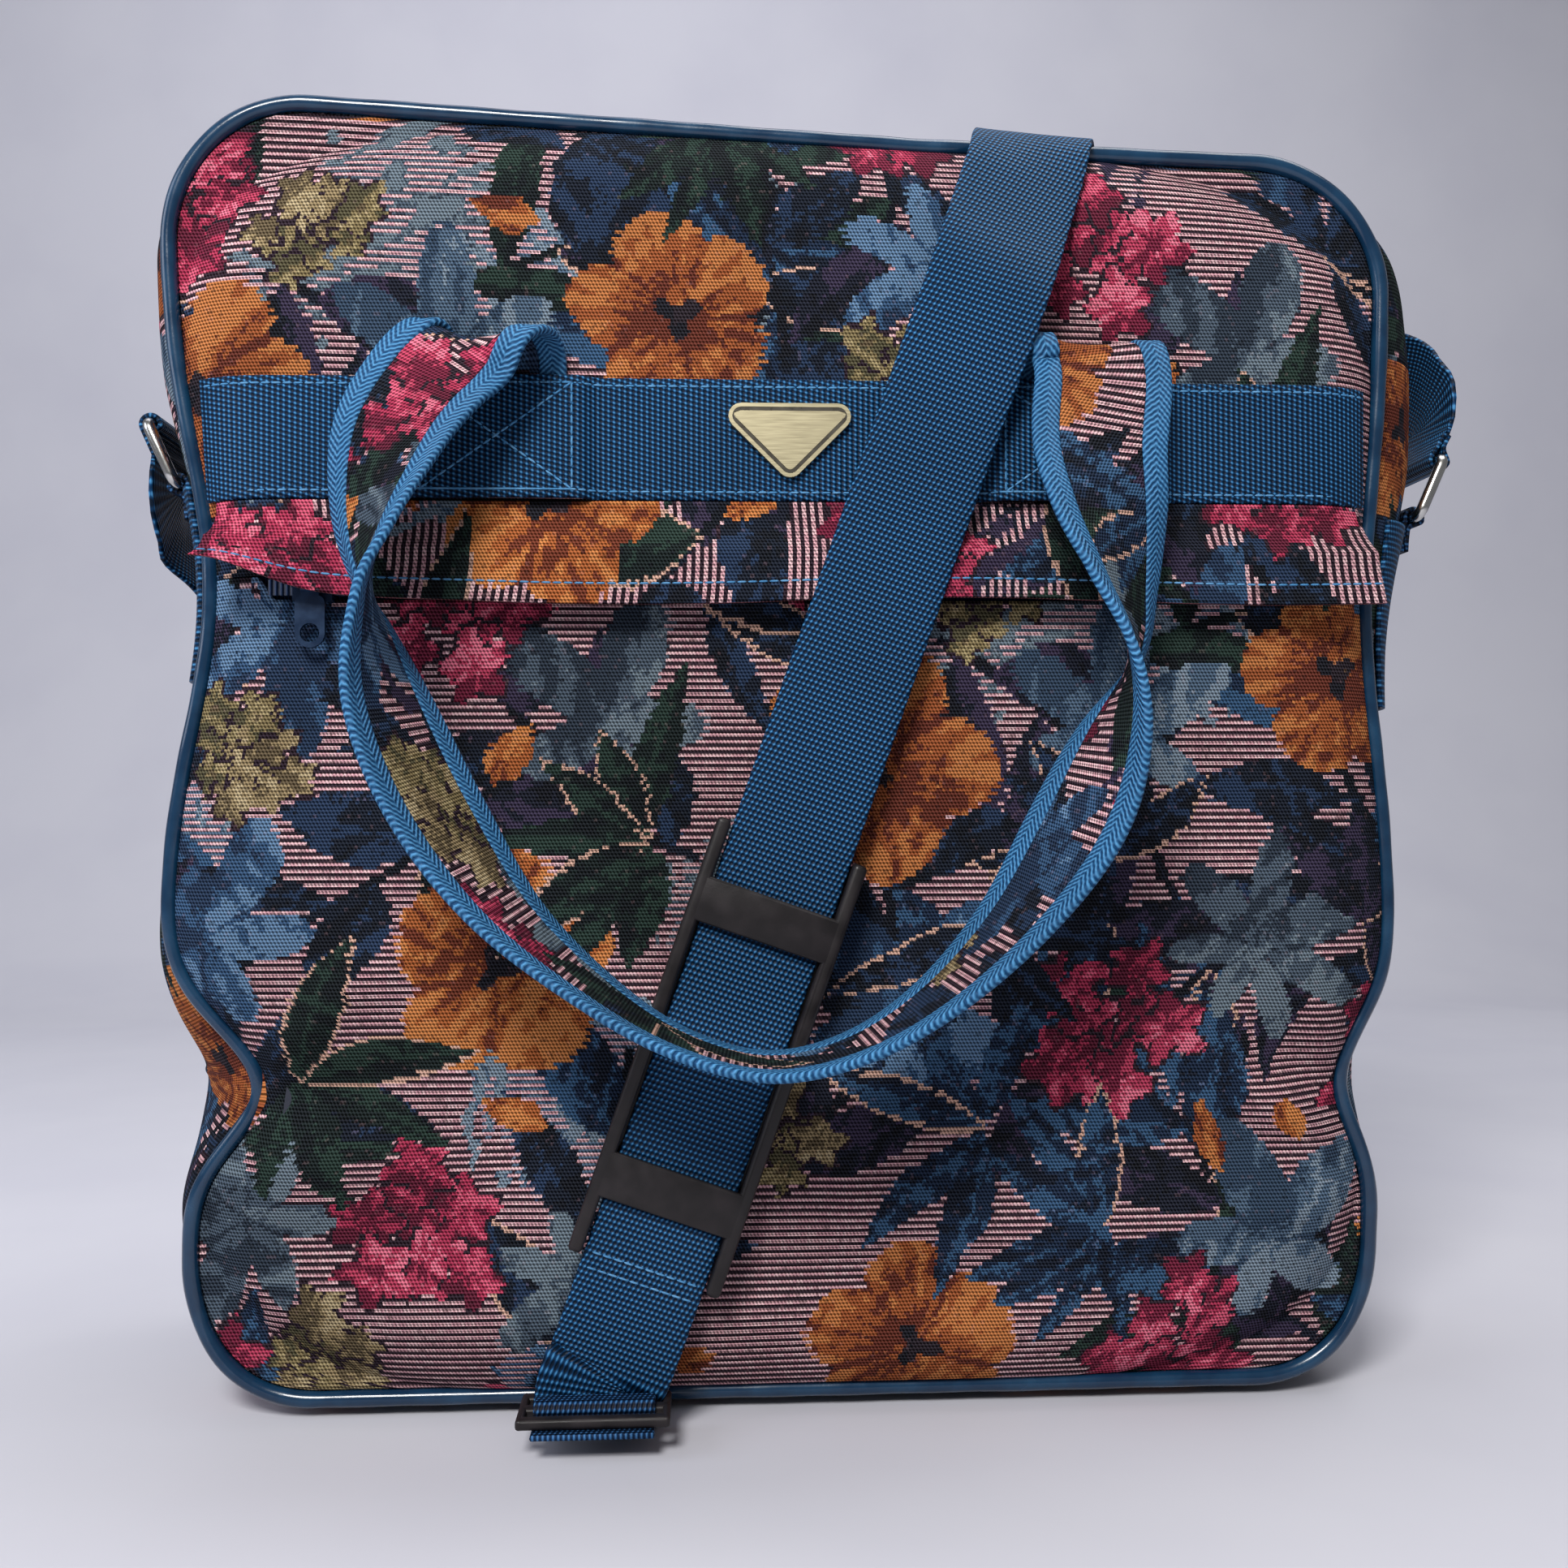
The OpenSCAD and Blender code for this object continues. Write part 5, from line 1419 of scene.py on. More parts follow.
@dataclass
class BandsAndFlap(Piece):
    """Webbing bands round the front and back, and the flap over the pocket zip."""

    print_cloth: TapestryPrint
    flap_t: float = 1.6
    flap_drop: float = 34.0
    flap_stand: float = 7.0
    flap_lift: float = 9.0
    flap_rise: float = 11.0
    root_lift: float = 3.5
    lift_ramp: float = 8.0
    end_in: float = 4.0
    sew_in: float = 2.6

    def lift(self, x: Array) -> Array:
        """How far a band is lifted by the handle roots under it."""
        d = np.abs(np.abs(x) - self.form.handle_x) - self.form.handle_w / 2 - 2
        t = np.clip(1 - d / self.lift_ramp, 0, 1)
        return self.root_lift * ease(t)

    def ends(self, z: float, keep: float) -> tuple[float, float]:
        """Both ends of a strip across a panel at a height."""
        f = self.form
        v = np.array(f.v_of(0.0, z))
        left, right = (float(f.side_x(v, side, f.rim + self.end_in, keep)) for side in Side)
        return left, right

    def on_band(self, x: Array, z: Array, rear: bool, off: float) -> Array:
        """Points on a band, off millimetres above its outer face."""
        f = self.form
        rise = f.gap + self.lift(x) + f.web_t + off
        return spread_out(x, f.rear_y(x, z) + rise if rear else f.face_y(x, z) - rise, z)

    def band(self, rear: bool) -> None:
        """One band with its edge stitching."""
        f, label = self.form, "back" if rear else "front"
        lo, hi = self.ends(f.band_z, f.rear_keep if rear else 1.0)
        x = np.linspace(lo, hi, 150)
        mid = self.on_band(x, np.full_like(x, f.band_z), rear, -f.web_t / 2)
        high = self.on_band(x, np.full_like(x, f.band_z + 15), rear, -f.web_t / 2)
        obj = swept(mid, high - mid, flat_section(f.web_w, f.web_t, 12)).build(label + "_webbing")
        self.settle(obj, self.finish.webbing, "webbing", label + "_band")
        out = -FRONT if rear else FRONT
        sew = []
        half, tall = f.handle_w / 2 + 1.5, f.web_w / 2 - self.sew_in
        for edge in (-1, 1):
            sew.append((self.on_band(x, np.full_like(x, f.band_z + edge * tall), rear, 0.0), out))
        for root in (-1, 1):
            cx = root * f.handle_x
            box = [(-half, -tall), (half, -tall), (half, tall), (-half, tall), (-half, -tall)]
            runs = list(zip(box[:-1], box[1:])) + [(box[0], box[2]), (box[1], box[3])]
            for (ax, az), (bx, bz) in runs:
                t = np.linspace(0, 1, 12)
                sew.append((self.on_band(cx + ax + (bx - ax) * t, f.band_z + az + (bz - az) * t, rear, 0.0), out))
        StitchRuns(self.form, self.finish).build(label + "_band_stitches", sew)

    def flap_grid(self, off: float, n: int, m: int) -> Array:
        """Points of the flap.

        Args:
            off: Distance outside its inner face.
            n: Rows from its lower edge up.
            m: Columns along it.

        Returns:
            The points, rows by columns.
        """
        f = self.form
        t = np.linspace(1, 0, n)[:, None]
        z = mix(f.band_z - f.web_w / 2 - f.gap, f.flap_z, t)
        v = f.v_of(0.0, z)
        lo = f.side_x(v, Side.LEFT, f.rim + self.end_in) - 4 * t * t
        hi = f.side_x(v, Side.RIGHT, f.rim + self.end_in) + 3 * t
        x = mix(lo, hi, np.linspace(0, 1, m)[None, :])
        curl = t * t * bump(x - lo, 24)
        ripple = 0.9 * np.sin(x / 19 + 0.8) + 0.6 * np.sin(x / 8.5)
        away = np.clip(ripple, 0, 0.9) + 0.5 + 3.0 * bump(x - hi, 30)
        stand = self.flap_stand * np.minimum(1, 2 * t) + t * t * away
        straight = f.front_y - f.gap - stand - self.flap_lift * curl
        y = mix(f.face_y(x, z) - f.gap, straight, np.minimum(1, 2 * t)) - off
        return spread_out(x, y, z + 1.2 * t * np.sin(x / 33) + self.flap_rise * curl)

    def flap(self) -> None:
        """The flap, cut across the print, with a hem along its free edges."""
        n, m, hem_rows = 27, 280, 6
        outer = self.flap_grid(self.flap_t, n, m)
        outer[..., 1] -= (0.5 / (1 + np.exp((np.arange(n) - hem_rows) * 1.6)))[:, None]
        inner = self.flap_grid(0.0, n, m)
        uv = np.stack([outer[..., 0] + 40, outer[..., 2] + 300], -1)
        shade = self.print_cloth.weave(uv, np.arange(m - 1)[None, :], turned=True)
        obj = shell_between(outer, inner, uv, shade).build("flap_cloth")
        self.settle(obj, self.finish.tapestry, "tapestry", "flap")
        StitchRuns(self.form, self.finish).build("flap_stitches", [(outer[hem_rows - 1], FRONT)], "tapestry")

    def build(self) -> None:
        """Makes the bands and the flap."""
        self.band(False)
        self.band(True)
        self.flap()


@dataclass
class Handles(Piece):
    """Carry handles: a tapestry strip with a herringbone binding along each edge."""

    print_cloth: TapestryPrint
    bind_w: float = 9.0
    core_t: float = 2.2
    bind_t: float = 2.9
    steps: int = 14
    pitch: float = 1.3
    # Stations of the front handle: share of the root spacing, stand-off, height above the band, turn of the width
    front_rows: tuple = (
        (-1, 0, -13, 0), (-1, 0, 19, 0), (-1.005, 1.5, 25, 0), (-1.03, 6, 27.5, 0), (-1.09, 11, 25.5, 4),
        (-1.2, 15.5, 15, 9), (-1.3, 21, -1, 20), (-1.35, 26, -21, 42), (-1.36, 31, -41, 66), (-1.345, 34, -58, 90),
        (-1.28, 36, -85, 115), (-1.13, 36.5, -115, 121), (-0.91, 37.5, -144, 112), (-0.62, 39, -167, 101),
        (-0.36, 40, -181, 94), (-0.09, 41, -187, 90), (0.18, 40, -182, 86), (0.44, 39, -168, 79),
        (0.69, 37.5, -146, 69), (0.89, 36.5, -119, 60), (1.01, 36, -93, 75), (1.085, 34.5, -68, 110),
        (1.065, 31, -46, 133), (1.035, 27, -24, 158), (1.025, 21, -5, 173), (1.055, 15, 15, 178), (1.05, 11, 25, 181),
        (1.03, 6, 27.5, 180), (1.005, 1.5, 25, 180), (1, 0, 19, 180), (1, 0, -13, 180))
    # Half of the rear handle: share of the root spacing, stand-off, height above the band; the rest mirrors it
    rear_rows: tuple = (
        (-1, 0, -13), (-1, 0, 20), (-1.005, 1.5, 28.5), (-1.01, 6, 32), (-1.02, 10.5, 29), (-1.03, 11.5, 16),
        (-1.06, 9.5, -12), (-1.08, 9, -50), (-1.04, 9, -84), (-0.88, 9, -118), (-0.52, 9, -142), (0, 9, -150))

    def front_line(self) -> tuple[Array, Array]:
        """Middle line and width directions of the front handle."""
        f = self.form
        rows = through(np.array(self.front_rows, float), self.steps)
        root = f.gap + self.bind_t / 2
        points = np.stack([rows[:, 0] * f.handle_x, f.front_y - root - rows[:, 1], f.band_z + rows[:, 2]], 1)
        turn = np.radians(rows[:, 3])
        return points, np.stack([np.cos(turn), -np.sin(turn), np.zeros(len(turn))], 1)

    def rear_line(self) -> tuple[Array, Array]:
        """Middle line and width directions of the rear handle."""
        f = self.form
        half = np.array(self.rear_rows, float)
        rows = through(np.vstack([half, half[-2::-1] * [-1, 1, 1]]), self.steps)
        root = f.gap + self.bind_t / 2
        points = np.stack([rows[:, 0] * f.handle_x, f.back_y + root + rows[:, 1], f.band_z + rows[:, 2]], 1)
        ahead = np.gradient(points, axis=0)
        wide = unit(np.stack([-ahead[:, 2], np.zeros(len(points)), ahead[:, 0]], 1))
        t = np.arange(len(points)) / self.steps
        n = 2 * (len(self.rear_rows) - 1)
        near = np.clip(np.minimum(t, n - t) - 3.4, 0, 1)[:, None]
        fixed = np.where((t < n / 2)[:, None], [[1.0, 0, 0]], [[-1.0, 0, 0]])
        return points, mix(fixed, wide, ease(near))

    def handle(self, side: str, points: Array, wides: Array) -> None:
        """One handle with its bindings and their stitching.

        Args:
            side: "front" or "back".
            points: Its middle line.
            wides: Its width directions.
        """
        points, wides = evenly(points, wides, self.pitch)
        wides = unit(wides)
        core = self.form.handle_w / 2 - self.bind_w
        section = flat_section(2 * core + 1.4, self.core_t, 22)
        data = swept(points, wides, section)
        run = along_line(points)
        u = (section[:, 0] + np.roll(section[:, 0], -1)) / 2 + np.where(section[:, 1] > 0, 0, 150)
        v = (run[:-1] + run[1:]) / 2
        uu, vv = np.broadcast_arrays(u[None, :] + 120, v[:, None] + (20 if side == "front" else 230))
        shade = self.print_cloth.paint(uu, vv, np.arange(len(v))[:, None]).reshape(-1, 3)
        data.colours = np.vstack([shade, shade[:2]])
        obj = data.build(side + "_handle_cloth")
        self.settle(obj, self.finish.tapestry, "tapestry", side + "_handle")
        wide = square_to(wides, unit(np.gradient(points, axis=0)))
        for edge, name in ((-1, "outer"), (1, "inner")):
            mid = points + edge * (core + self.bind_w / 2) * wide
            strip = swept(mid, wides, flat_section(self.bind_w - 0.3, self.bind_t, 7))
            piece = strip.build(f"{side}_tape_{name}")
            self.settle(piece, self.finish.binding, "binding", f"{side}_binding_{name}")

    def build(self) -> None:
        """Makes both handles."""
        self.handle("front", *self.front_line())
        self.handle("back", *self.rear_line())


def edit_all() -> None:
    """Goes into edit mode with everything selected."""
    bpy.ops.object.mode_set(mode="EDIT")
    bpy.ops.mesh.select_all(action="SELECT")


@dataclass
class ShoulderStrap(Piece):
    """Shoulder strap in two runs, with its ring loops, tabs, patches and rings."""

    ring_z: tuple = (299.0, 290.0)
    ring_x: tuple = (-203.68, 222.807)
    ring_lean: float = math.radians(24)
    ring_h: float = 22.0
    ring_half: float = 22.0
    wire_r: float = 2.0
    tab_w: float = 36.0
    tab_sewn: float = 5.0
    patch_top: float = 7.0
    patch_len: float = 62.0
    patch_off: float = 1.2
    patch_turn: float = 1.29
    ring_round: float = 3.2
    loop_end: float = 8.5
    pitch: float = 2.6
    sewn_z: tuple = (46.0, 50.5)

    @property
    def bend_r(self) -> float:
        """Inner radius of webbing round a ring."""
        return self.wire_r + 0.3

    def route(self) -> tuple[list, list]:
        """Stations of the strap: point and width direction.

        Returns:
            The stations from the right ring down to the slide, and from there on to the left ring.
        """
        f, at, sy = self.form, self.form.strap_at, self.form.strap_y
        s, c = math.sin(self.ring_lean), math.cos(self.ring_lean)
        off = 2 * f.web_t - self.bend_r
        rx = self.ring_x[1] + self.ring_h * s + self.loop_end * s - off * c
        rz = self.ring_z[1] + self.ring_h * c + self.loop_end * c + off * s
        lx = self.ring_x[0] - self.ring_h * s + self.loop_end * s - self.bend_r * c
        lz = self.ring_z[0] + self.ring_h * c - self.loop_end * c - self.bend_r * s
        top, fold = f.seam_z + f.height + f.pipe_r, f.band_z + 38
        rear, hd, half = f.back_y + 4, f.half_d, f.width / 2
        face = (math.cos(f.lean), 0.0, -math.sin(f.lean))
        tip = lambda k: (face[0], -k, face[2])
        flap, foot = f.flap_z, 30
        mid = (flap + foot) / 2
        lane, low = f.lane_x, f.web_t / 2 + 0.1
        side, down, flat = (0, -1, 0), (0, 1, 0), (1, 0, 0)
        front = [
            ((rx, 0, rz), side), ((rx + 1, 0, rz + 2.4), side), ((rx + 2, 0, rz + 5.5), side),
            ((rx + 2.8, 0, rz + 10), side), ((rx + 3.2, 5, rz + 18), (0, -1, 0.15)),
            ((rx - 1, 19, rz + 31), (0, -0.85, 0.5)), ((half + 15, 43, rz + 42), (0.1, -0.7, 0.65)),
            ((half - 1, hd + 4, rz + 49), (0.45, -0.3, 0.75)), ((half - 25, rear, rz + 57), (0.6, 0, 0.75)),
            ((at(top) + 62, rear - 2, top - 18), (0.75, 0, 0.65)),
            ((at(top) + 48, hd + 5, top - 4), (0.85, -0.25, 0.45)),
            ((at(top) + 38, hd - 8, top + 3), (0.85, -0.5, 0.1)), ((at(top) + 24, 12, top + 6), (0.87, -0.48, 0)),
            ((at(top) + 10, -22, top + 5), (0.9, -0.42, -0.1)),
            ((at(top) + 2, -hd + 6, top + 2.2), (0.92, -0.3, -0.15)),
            ((at(top) - 1.5, -hd - 5, top - 2.8), (0.93, -0.2, -0.25)), ((at(top - 14), sy + 11, top - 14), face),
            ((at(top - 32), sy + 3.5, top - 32), face), ((at(top - 48), sy - 3.6, top - 48), tip(0.08)),
            ((at(fold), sy - 5.4, fold), tip(0.12)), ((at(fold - 26), sy - 2, fold - 26), tip(0.03)),
            ((at(flap + 32), sy, flap + 32), face), ((at(flap), sy, flap), face), ((at(mid), sy, mid), face),
            ((at(foot), sy, foot), face), ((mix(at(18), lane, 0.4), sy, 18), (0.96, 0, -0.2)),
            ((lane, sy + 0.5, 8), flat)]
        behind = [
            ((lane, sy + 4, 2.6), flat), ((lane, sy + 11, low), flat), ((lane, 6 - hd, low), flat),
            ((lane, 0, low), flat), ((lane, hd - 6, low), flat), ((lane, f.back_y - 3, low + 0.9), flat),
            ((lane - 0.5, rear - 0.5, 9), flat), ((lane - 6, rear + 0.5, 26), (0.97, 0, 0.25)),
            ((lane - 28, rear, 76), (0.92, 0, 0.4)), ((lane - 66, rear, 150), (0.89, 0, 0.46)),
            ((lane - 97, rear, 206), (0.88, 0, 0.47)), ((lane - 122, rear - 3, 244), (0.86, 0.3, 0.42)),
            ((-half - 5, hd - 12, 268), (0.35, 0.85, 0.38)), ((lx - 0.5, 17, lz - 27), (0, 0.95, 0.28)),
            ((lx - 1.2, 4.5, lz - 17.5), (0, 1, 0.1)), ((lx - 1.1, 0, lz - 11), down), ((lx - 0.6, 0, lz - 4.5), down),
            ((lx - 0.2, 0, lz - 1.5), down), ((lx, 0, lz), down)]
        return front, front[-1:] + behind

    def run(self, name: str, rows: list, body: str, start: tuple, end: tuple) -> None:
        """One run of webbing whose far end turns with a ring.

        Args:
            name: Name of the piece.
            rows: Its stations.
            body: The ring's body.
            start: Where it begins to follow the ring, in millimetres.
            end: Where it follows the ring wholly.
        """
        f = self.form
        points, wides = (through(np.array(column, float), 10) for column in zip(*rows))
        points, wides = evenly(points, wides, self.pitch)
        run = along_line(points)
        obj = swept(points, wides, flat_section(f.web_w, f.web_t, 12)).build(name)
        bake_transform(obj, "bag_body", body, start=[a * MM for a in start], end=[a * MM for a in end])
        self.settle(obj, self.finish.webbing, "webbing", "strap")

    def loop(self, name: str, node: str, path: list, side: Side, lifted: bool, width: float, body: str) -> None:
        """Webbing folded round a ring.

        Args:
            name: Name of the piece.
            node: CAD node that it stands for.
            path: Points (x, z) round the ring, with the bag towards +x.
            side: Which side.
            lifted: Whether it is on the ring's upper bar.
            width: Width of the webbing.
            body: The body that it rides on.
        """
        flat = through(np.array(path, float), 6)
        if lifted:
            c, s = math.cos(self.ring_lean), math.sin(self.ring_lean)
            x, z = flat[:, 0], flat[:, 1] + self.ring_h
            flat = np.stack([x * c - z * s, x * s + z * c], 1)
        sign = -1 if side else 1
        points = spread_out(self.ring_x[side] + sign * flat[:, 0], 0.0, self.ring_z[side] + flat[:, 1])
        wides = np.repeat([[0.0, 1.0, 0.0]], len(points), 0)
        obj = swept(points, wides, flat_section(width, self.form.web_t, 10)).build(name)
        # The side tabs get the darker copy of the webbing as painted shade; the loops round the rings keep the plain
        # webbing
        web = self.finish.shaded_webbing if body == "bag_body" else self.finish.webbing
        self.settle(obj, web, "webbing", node, body=body)

    def bend(self, start: float, stop: float, r: float) -> list:
        """Points of an arc round the ring, angles in degrees."""
        return [(r * math.cos(math.radians(a)), r * math.sin(math.radians(a))) for a in np.linspace(start, stop, 9)]

    def ring(self, side: Side) -> None:
        """Bent wire ring: a rectangle with round corners, swept with a round wire."""
        bpy.ops.object.select_all(action="DESELECT")
        bpy.ops.mesh.primitive_plane_add(size=1)
        obj = bpy.context.object
        obj.name = side.label + "_wire_ring"
        edit_all()
        bpy.ops.transform.resize(value=(2 * self.ring_half * MM, self.ring_h * MM, 1))
        bpy.ops.mesh.bevel(offset=self.ring_round * MM, segments=6, affect="VERTICES")
        bpy.ops.mesh.select_all(action="SELECT")
        bpy.ops.mesh.delete(type="ONLY_FACE")
        bpy.ops.object.mode_set(mode="OBJECT")
        bpy.ops.object.convert(target="CURVE")
        obj = bpy.context.object
        obj.data.bevel_depth = self.wire_r * MM
        obj.data.bevel_resolution = 5
        bpy.ops.object.convert(target="MESH")
        obj = bpy.context.object
        tilt = self.ring_lean if side else -self.ring_lean
        place = (Matrix.Translation(Vector((self.ring_x[side], 0, self.ring_z[side])) * MM)
                 @ Matrix.Rotation(tilt, 4, "Y") @ Matrix.Translation(Vector((0, 0, self.ring_h / 2)) * MM)
                 @ Matrix.Rotation(math.pi / 2, 4, "Z") @ Matrix.Rotation(math.pi / 2, 4, "X"))
        obj.data.transform(place)
        obj.matrix_world = Matrix.Identity(4)
        edit_all()
        bpy.ops.mesh.normals_make_consistent(inside=False)
        bpy.ops.object.mode_set(mode="OBJECT")
        bpy.ops.object.shade_smooth()
        self.settle(obj, self.finish.ring, "ring_metal", "side_ring_" + side.label, body=f"ring_{side.label}_body")

    def patch(self, side: Side) -> None:
        """Webbing patch on the side, under the ring's tab."""
        f = self.form
        top = self.ring_z[side] - self.patch_top
        z = np.linspace(top - self.patch_len, top, 30)[:, None]
        s = np.sin(np.linspace(-self.patch_turn, self.patch_turn, 60))[None, :]
        outer, inner = (f.side_point(side, z, s, off) for off in (self.patch_off + f.web_t, self.patch_off))
        uv = np.stack(np.broadcast_arrays(np.arcsin(s) * SEAM_R, z), -1)
        if side is Side.LEFT:
            outer, inner, uv = outer[:, ::-1], inner[:, ::-1], uv[:, ::-1]
        obj = shell_between(outer, inner, uv).build(side.label + "_patch")
        self.settle(obj, self.finish.webbing, "webbing", "side_patch_" + side.label)

    def build(self) -> None:
        """Makes the strap, its loops, tabs and patches."""
        f = self.form
        front, behind = self.route()
        self.run("strap_front_run", front, "ring_right_body", (208, 0, 330), (232, -8.4, 330))
        self.run("strap_rear_run", behind, "ring_left_body", (-212, 0, 299), (-212, 0, 309))
        r, a = self.bend_r + f.web_t / 2, self.loop_end + 1
        edge = -self.patch_top
        sewn = edge - self.tab_sewn
        tab = ([(r + 1.3, sewn), (r + 0.9, edge), (r, -2)] + self.bend(0, 215, r)
               + [(1.5, -3.4), (2.4, edge), (2.8, sewn)])
        for side in Side:
            self.loop(f"{side.label}_tab_web", f"ring_tab_{side.label}", tab, side, False, self.tab_w, "bag_body")
            self.ring(side)
            self.patch(side)
        down = [(-r, -a), (-r, -2)] + self.bend(180, -35, r) + [(-1.5, -3.4), (-1.5, -a)]
        up = [(1.7, a), (2.6, 2.6)] + self.bend(20, -200, r) + [(0.1, 4.6), (0.1, a)]
        self.loop("left_loop_web", "strap_loop_left", down, Side.LEFT, True, f.web_w, "ring_left_body")
        self.loop("right_loop_web", "strap_loop_right", up, Side.RIGHT, True, f.web_w, "ring_right_body")
        sew = []
        wide = np.array([math.cos(f.lean), 0, -math.sin(f.lean)])
        across = np.linspace(-0.44, 0.44, 10)[:, None] * f.web_w * wide
        for z in self.sewn_z:
            mid = np.array([f.strap_at(z), f.strap_y - f.web_t / 2, z])
            sew.append((mid + across, FRONT))
        StitchRuns(self.form, self.finish).build("strap_stitches", sew)


@dataclass
class Workshop:
    """Blocks shaped with edit-mode tools, in millimetres."""

    def block(self, size: tuple, place: tuple, edge: float, steps: int = 3) -> Object:
        """Rounded block.

        Args:
            size: Its three sizes.
            place: Its middle.
            edge: Rounding of its edges.
            steps: Steps of the rounding.

        Returns:
            The block.
        """
        bpy.ops.object.select_all(action="DESELECT")
        bpy.ops.mesh.primitive_cube_add(size=1)
        obj = bpy.context.object
        edit_all()
        bpy.ops.transform.resize(value=[a * MM for a in size])
        bpy.ops.transform.translate(value=[a * MM for a in place])
        bpy.ops.mesh.select_all(action="SELECT")
        bpy.ops.mesh.bevel(offset=edge * MM, segments=steps, affect="EDGES", clamp_overlap=True)
        bpy.ops.object.mode_set(mode="OBJECT")
        return obj

    def weld(self, name: str, parts: list) -> Object:
        """Joins blocks into one closed piece.

        Args:
            name: Name of the piece.
            parts: The blocks.

        Returns:
            The piece.
        """
        first = parts[0]
        for other in parts[1:]:
            bpy.ops.object.select_all(action="DESELECT")
            bpy.context.view_layer.objects.active = first
            first.select_set(True)
            cut = first.modifiers.new("weld", "BOOLEAN")
            cut.operation, cut.solver, cut.object = "UNION", "EXACT", other
            bpy.ops.object.modifier_apply(modifier=cut.name)
            bpy.data.objects.remove(other)
        first.name = name
        first.data.name = name
        return first

    def pick_points(self, obj: Object, wanted: object) -> None:
        """Selects the points of a mesh in edit mode by their place.

        Args:
            obj: The piece, in edit mode.
            wanted: Function that says of a place whether it is wanted.
        """
        bpy.ops.mesh.select_mode(type="VERT")
        bpy.ops.mesh.select_all(action="DESELECT")
        made = bmesh.from_edit_mesh(obj.data)
        for point in made.verts:
            point.select_set(bool(wanted(point.co)))
        made.select_flush_mode()
        bmesh.update_edit_mesh(obj.data)

    def soften(self, obj: Object, place: Matrix) -> Object:
        """Shades a piece smooth by angle and moves its mesh to its place."""
        bpy.ops.object.select_all(action="DESELECT")
        bpy.context.view_layer.objects.active = obj
        obj.select_set(True)
        bpy.ops.object.shade_smooth_by_angle(angle=math.radians(35))
        obj.data.transform(place)
        obj.matrix_world = Matrix.Identity(4)
        return obj


